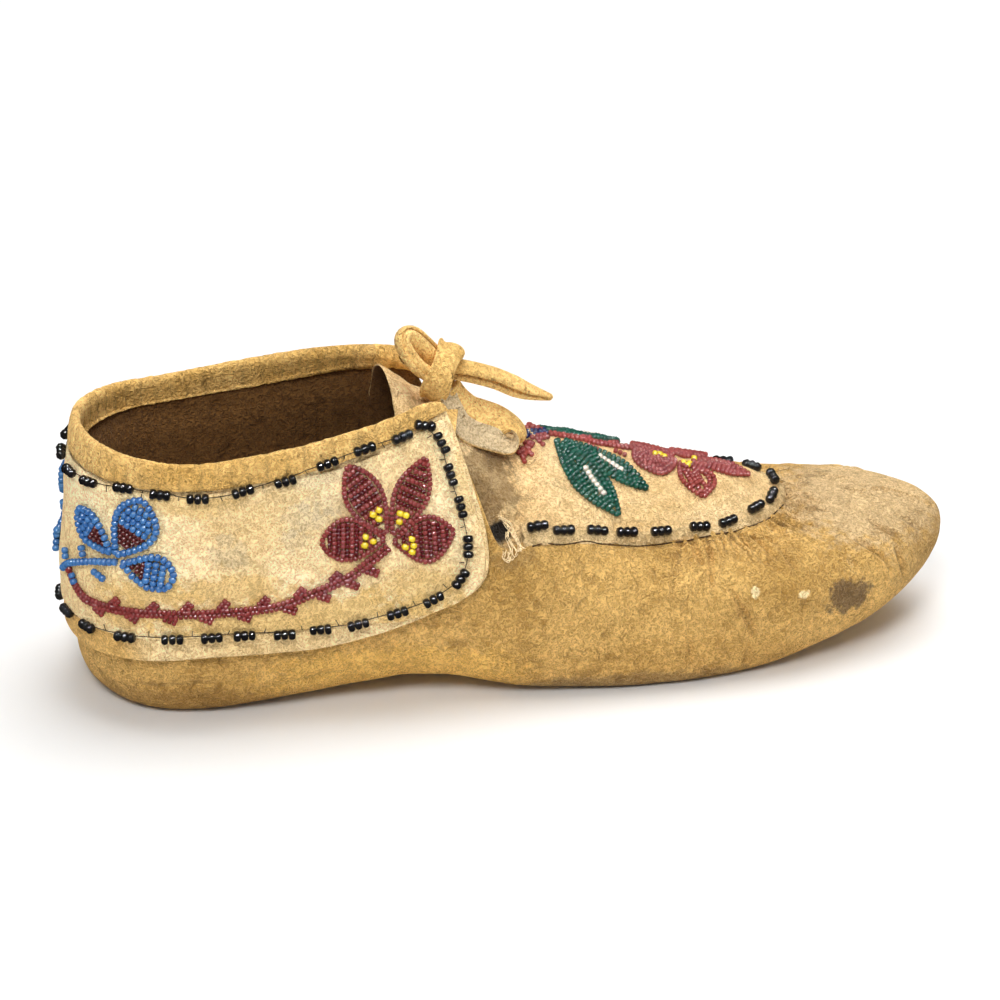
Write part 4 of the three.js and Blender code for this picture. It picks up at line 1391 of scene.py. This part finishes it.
# Torn fibres at the hole in the tongue: fine pale hairs that hang from its front edge and curl under it.
FIBRE = 0.00011
FIBRES_A_RUN = 3
FIBRE_STRAY = 0.5
FIBRE_LIFT = (0.0001, 0.0006)
FIBRE_RUNS = [
    [(115.6, 51.6), (117.6, 50), (119, 47.6), (119.6, 45.6)],
    [(116.4, 51.4), (118.4, 49.2), (119, 46.4)],
    [(116.8, 50.8), (117.8, 48.4), (118.6, 46.6), (120.2, 45.4)],
    [(115, 51.8), (116.8, 51.2), (118.2, 50.2)],
    [(117.4, 47.6), (116.2, 45.8), (117, 44.4), (118.2, 45.2)],
    [(114.6, 46.2), (113.8, 44.6), (115.2, 43.6), (116.4, 44.8)],
    [(115.8, 46), (115.2, 44.4), (116.8, 43.8)],
    [(118.2, 48.6), (117.2, 46.8), (118, 45.2), (119, 45.8)],
]
front_tree = surface_of(vamp, tongue, bottom)


def on_instep(spot):
    """A chart of the instep from the inner side: millimetres from the heel's back, and up from the floor."""
    return front_tree.ray_cast(shoe_place(spot[0], -2 * STAND_OFF, spot[1]), Vector((0, 1, 0)))[:2]


fibres = []
for run in FIBRE_RUNS:
    for _ in range(FIBRES_A_RUN):
        stray = [[bead_draw.uniform(-FIBRE_STRAY, FIBRE_STRAY) for _ in spot] for spot in run]
        route = smooth_line(np.array(run) + stray, 0.5)
        fibres.append((*cast_route(route, on_instep), FIBRE, bead_draw.uniform(*FIBRE_LIFT)))
fibre_finish = hide_finish("torn_fibre", (1.0, 0.86, 0.58), (0.86, 0.68, 0.40), grain=0.0)
hole_fibres = thread_piece("hole_fibres", fibres, fibre_finish)
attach(hole_fibres, "root")


# The sinew that sews the vamp's welt down to the gathered rim: a dark thread along the foot of the welt, made
# dark partly as painted shade in the seam's gap.
SINEW = 0.00021
SINEW_OFF = 0.0005
SINEW_INSET = 3
seam_tree = surface_of(vamp, bottom)
foot_line = (seam_line - SINEW_OFF * seam_in)[SINEW_INSET:-SINEW_INSET]
sinew_run, sinew_ups = cast_route(foot_line, lambda spot: drop_on(seam_tree, spot))
sinew_and_shade_finish = hide_finish("sinew", (0.12, 0.07, 0.03), (0.07, 0.04, 0.016))
seam_thread = thread_piece("seam_thread", [(evened(sinew_run, 8), sinew_ups, SINEW, 0.0)], sinew_and_shade_finish)
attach(seam_thread, "root")


# The beads themselves: each is one short cylinder of glass with both rims rounded over, turned to its row and
# set on the hide. All the beads of a colour are one piece.
BEAD_SIDES = 8
BEAD_ROUND = 0.38
BEAD_SEAT = 0.44
GLASS_SPECULAR = 0.35
bpy.ops.object.select_all(action="DESELECT")
bpy.ops.mesh.primitive_cylinder_add(vertices=BEAD_SIDES, radius=0.5, depth=1)
bead = bpy.context.object
bpy.ops.object.mode_set(mode="EDIT")
bpy.ops.mesh.select_mode(type="EDGE")
bpy.ops.mesh.select_all(action="DESELECT")
bpy.ops.object.mode_set(mode="OBJECT")
for side in bead.data.edges:
    heights = [bead.data.vertices[v].co.z for v in side.vertices]
    side.select = heights[0] * heights[1] > 0
bpy.ops.object.mode_set(mode="EDIT")
bpy.ops.mesh.bevel(offset=BEAD_ROUND, offset_type="OFFSET", segments=2, profile=0.6, affect="EDGES")
bpy.ops.object.mode_set(mode="OBJECT")
bead_places = places_of(bead)
bead_faces = [tuple(face.vertices) for face in bead.data.polygons]
bpy.data.objects.remove(bead)

# The deep and the bright shade of each colour, and how rough its glass is.
GLASS = {
    "black": ((0.006, 0.006, 0.007), (0.012, 0.011, 0.011), 0.05),
    "blue": ((0.036, 0.14, 0.40), (0.08, 0.24, 0.53), 0.15),
    # Red is very dark, partly as painted shade between the rose rows of the petals.
    "red": ((0.075, 0.002, 0.003), (0.16, 0.007, 0.008), 0.12),
    "rose": ((0.17, 0.020, 0.018), (0.33, 0.058, 0.052), 0.1),
    "maroon": ((0.075, 0.010, 0.010), (0.15, 0.028, 0.026), 0.2),
    "green": ((0.004, 0.052, 0.034), (0.010, 0.12, 0.078), 0.08),
    "pink": ((0.24, 0.034, 0.030), (0.45, 0.10, 0.082), 0.1),
    "yellow": ((0.82, 0.58, 0.01), (0.90, 0.72, 0.04), 0.22),
    "white": ((0.62, 0.57, 0.46), (0.80, 0.76, 0.66), 0.25),
    "navy": ((0.008, 0.012, 0.07), (0.02, 0.03, 0.14), 0.14),
}


def glass_finish(colour, deep, bright, rough):
    """Glass: each bead has its own shade, a little streaked."""
    finish, shader = new_finish("glass_" + colour, {"Specular IOR Level": GLASS_SPECULAR})
    tree = finish.node_tree
    spot = add_node(tree, "ShaderNodeTexCoord").outputs["Object"]
    streak = mottle(tree, spot, scale=1600, detail=2)
    shade = weighed(tree, (value_of(tree, "shade"), 0.75), (streak, 0.25))
    tree.links.new(mixed(tree, shade, deep, bright), shader.inputs["Base Color"])
    tree.links.new(stretched(tree, streak, 0.3, 0.7, rough, rough + 0.06), shader.inputs["Roughness"])
    return finish


for colour, beads in sewn.items():
    size = BEADS[colour]
    places, faces, shades = [], [], []
    for i, (centre, ahead, up) in enumerate(beads):
        across = size[0] / 1000 * bead_draw.uniform(0.93, 1.05)
        long = size[1] / 1000 * bead_draw.uniform(0.92, 1.04)
        ahead = unit(ahead + bead_draw.uniform(-0.1, 0.1) * np.cross(up, ahead))
        turned = np.stack([np.cross(up, ahead) * across, up * across, ahead * long])
        places.append(bead_places @ turned + centre + up * across * BEAD_SEAT)
        faces.extend(tuple(v + i * len(bead_places) for v in face) for face in bead_faces)
        shades.append(np.full(len(bead_places), bead_draw.random()))
    piece = new_piece(colour + "_beads", np.concatenate(places), faces)
    keep_value(piece, "shade", np.concatenate(shades))
    piece.data.materials.append(glass_finish(colour, *GLASS[colour]))
    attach(piece, "root")
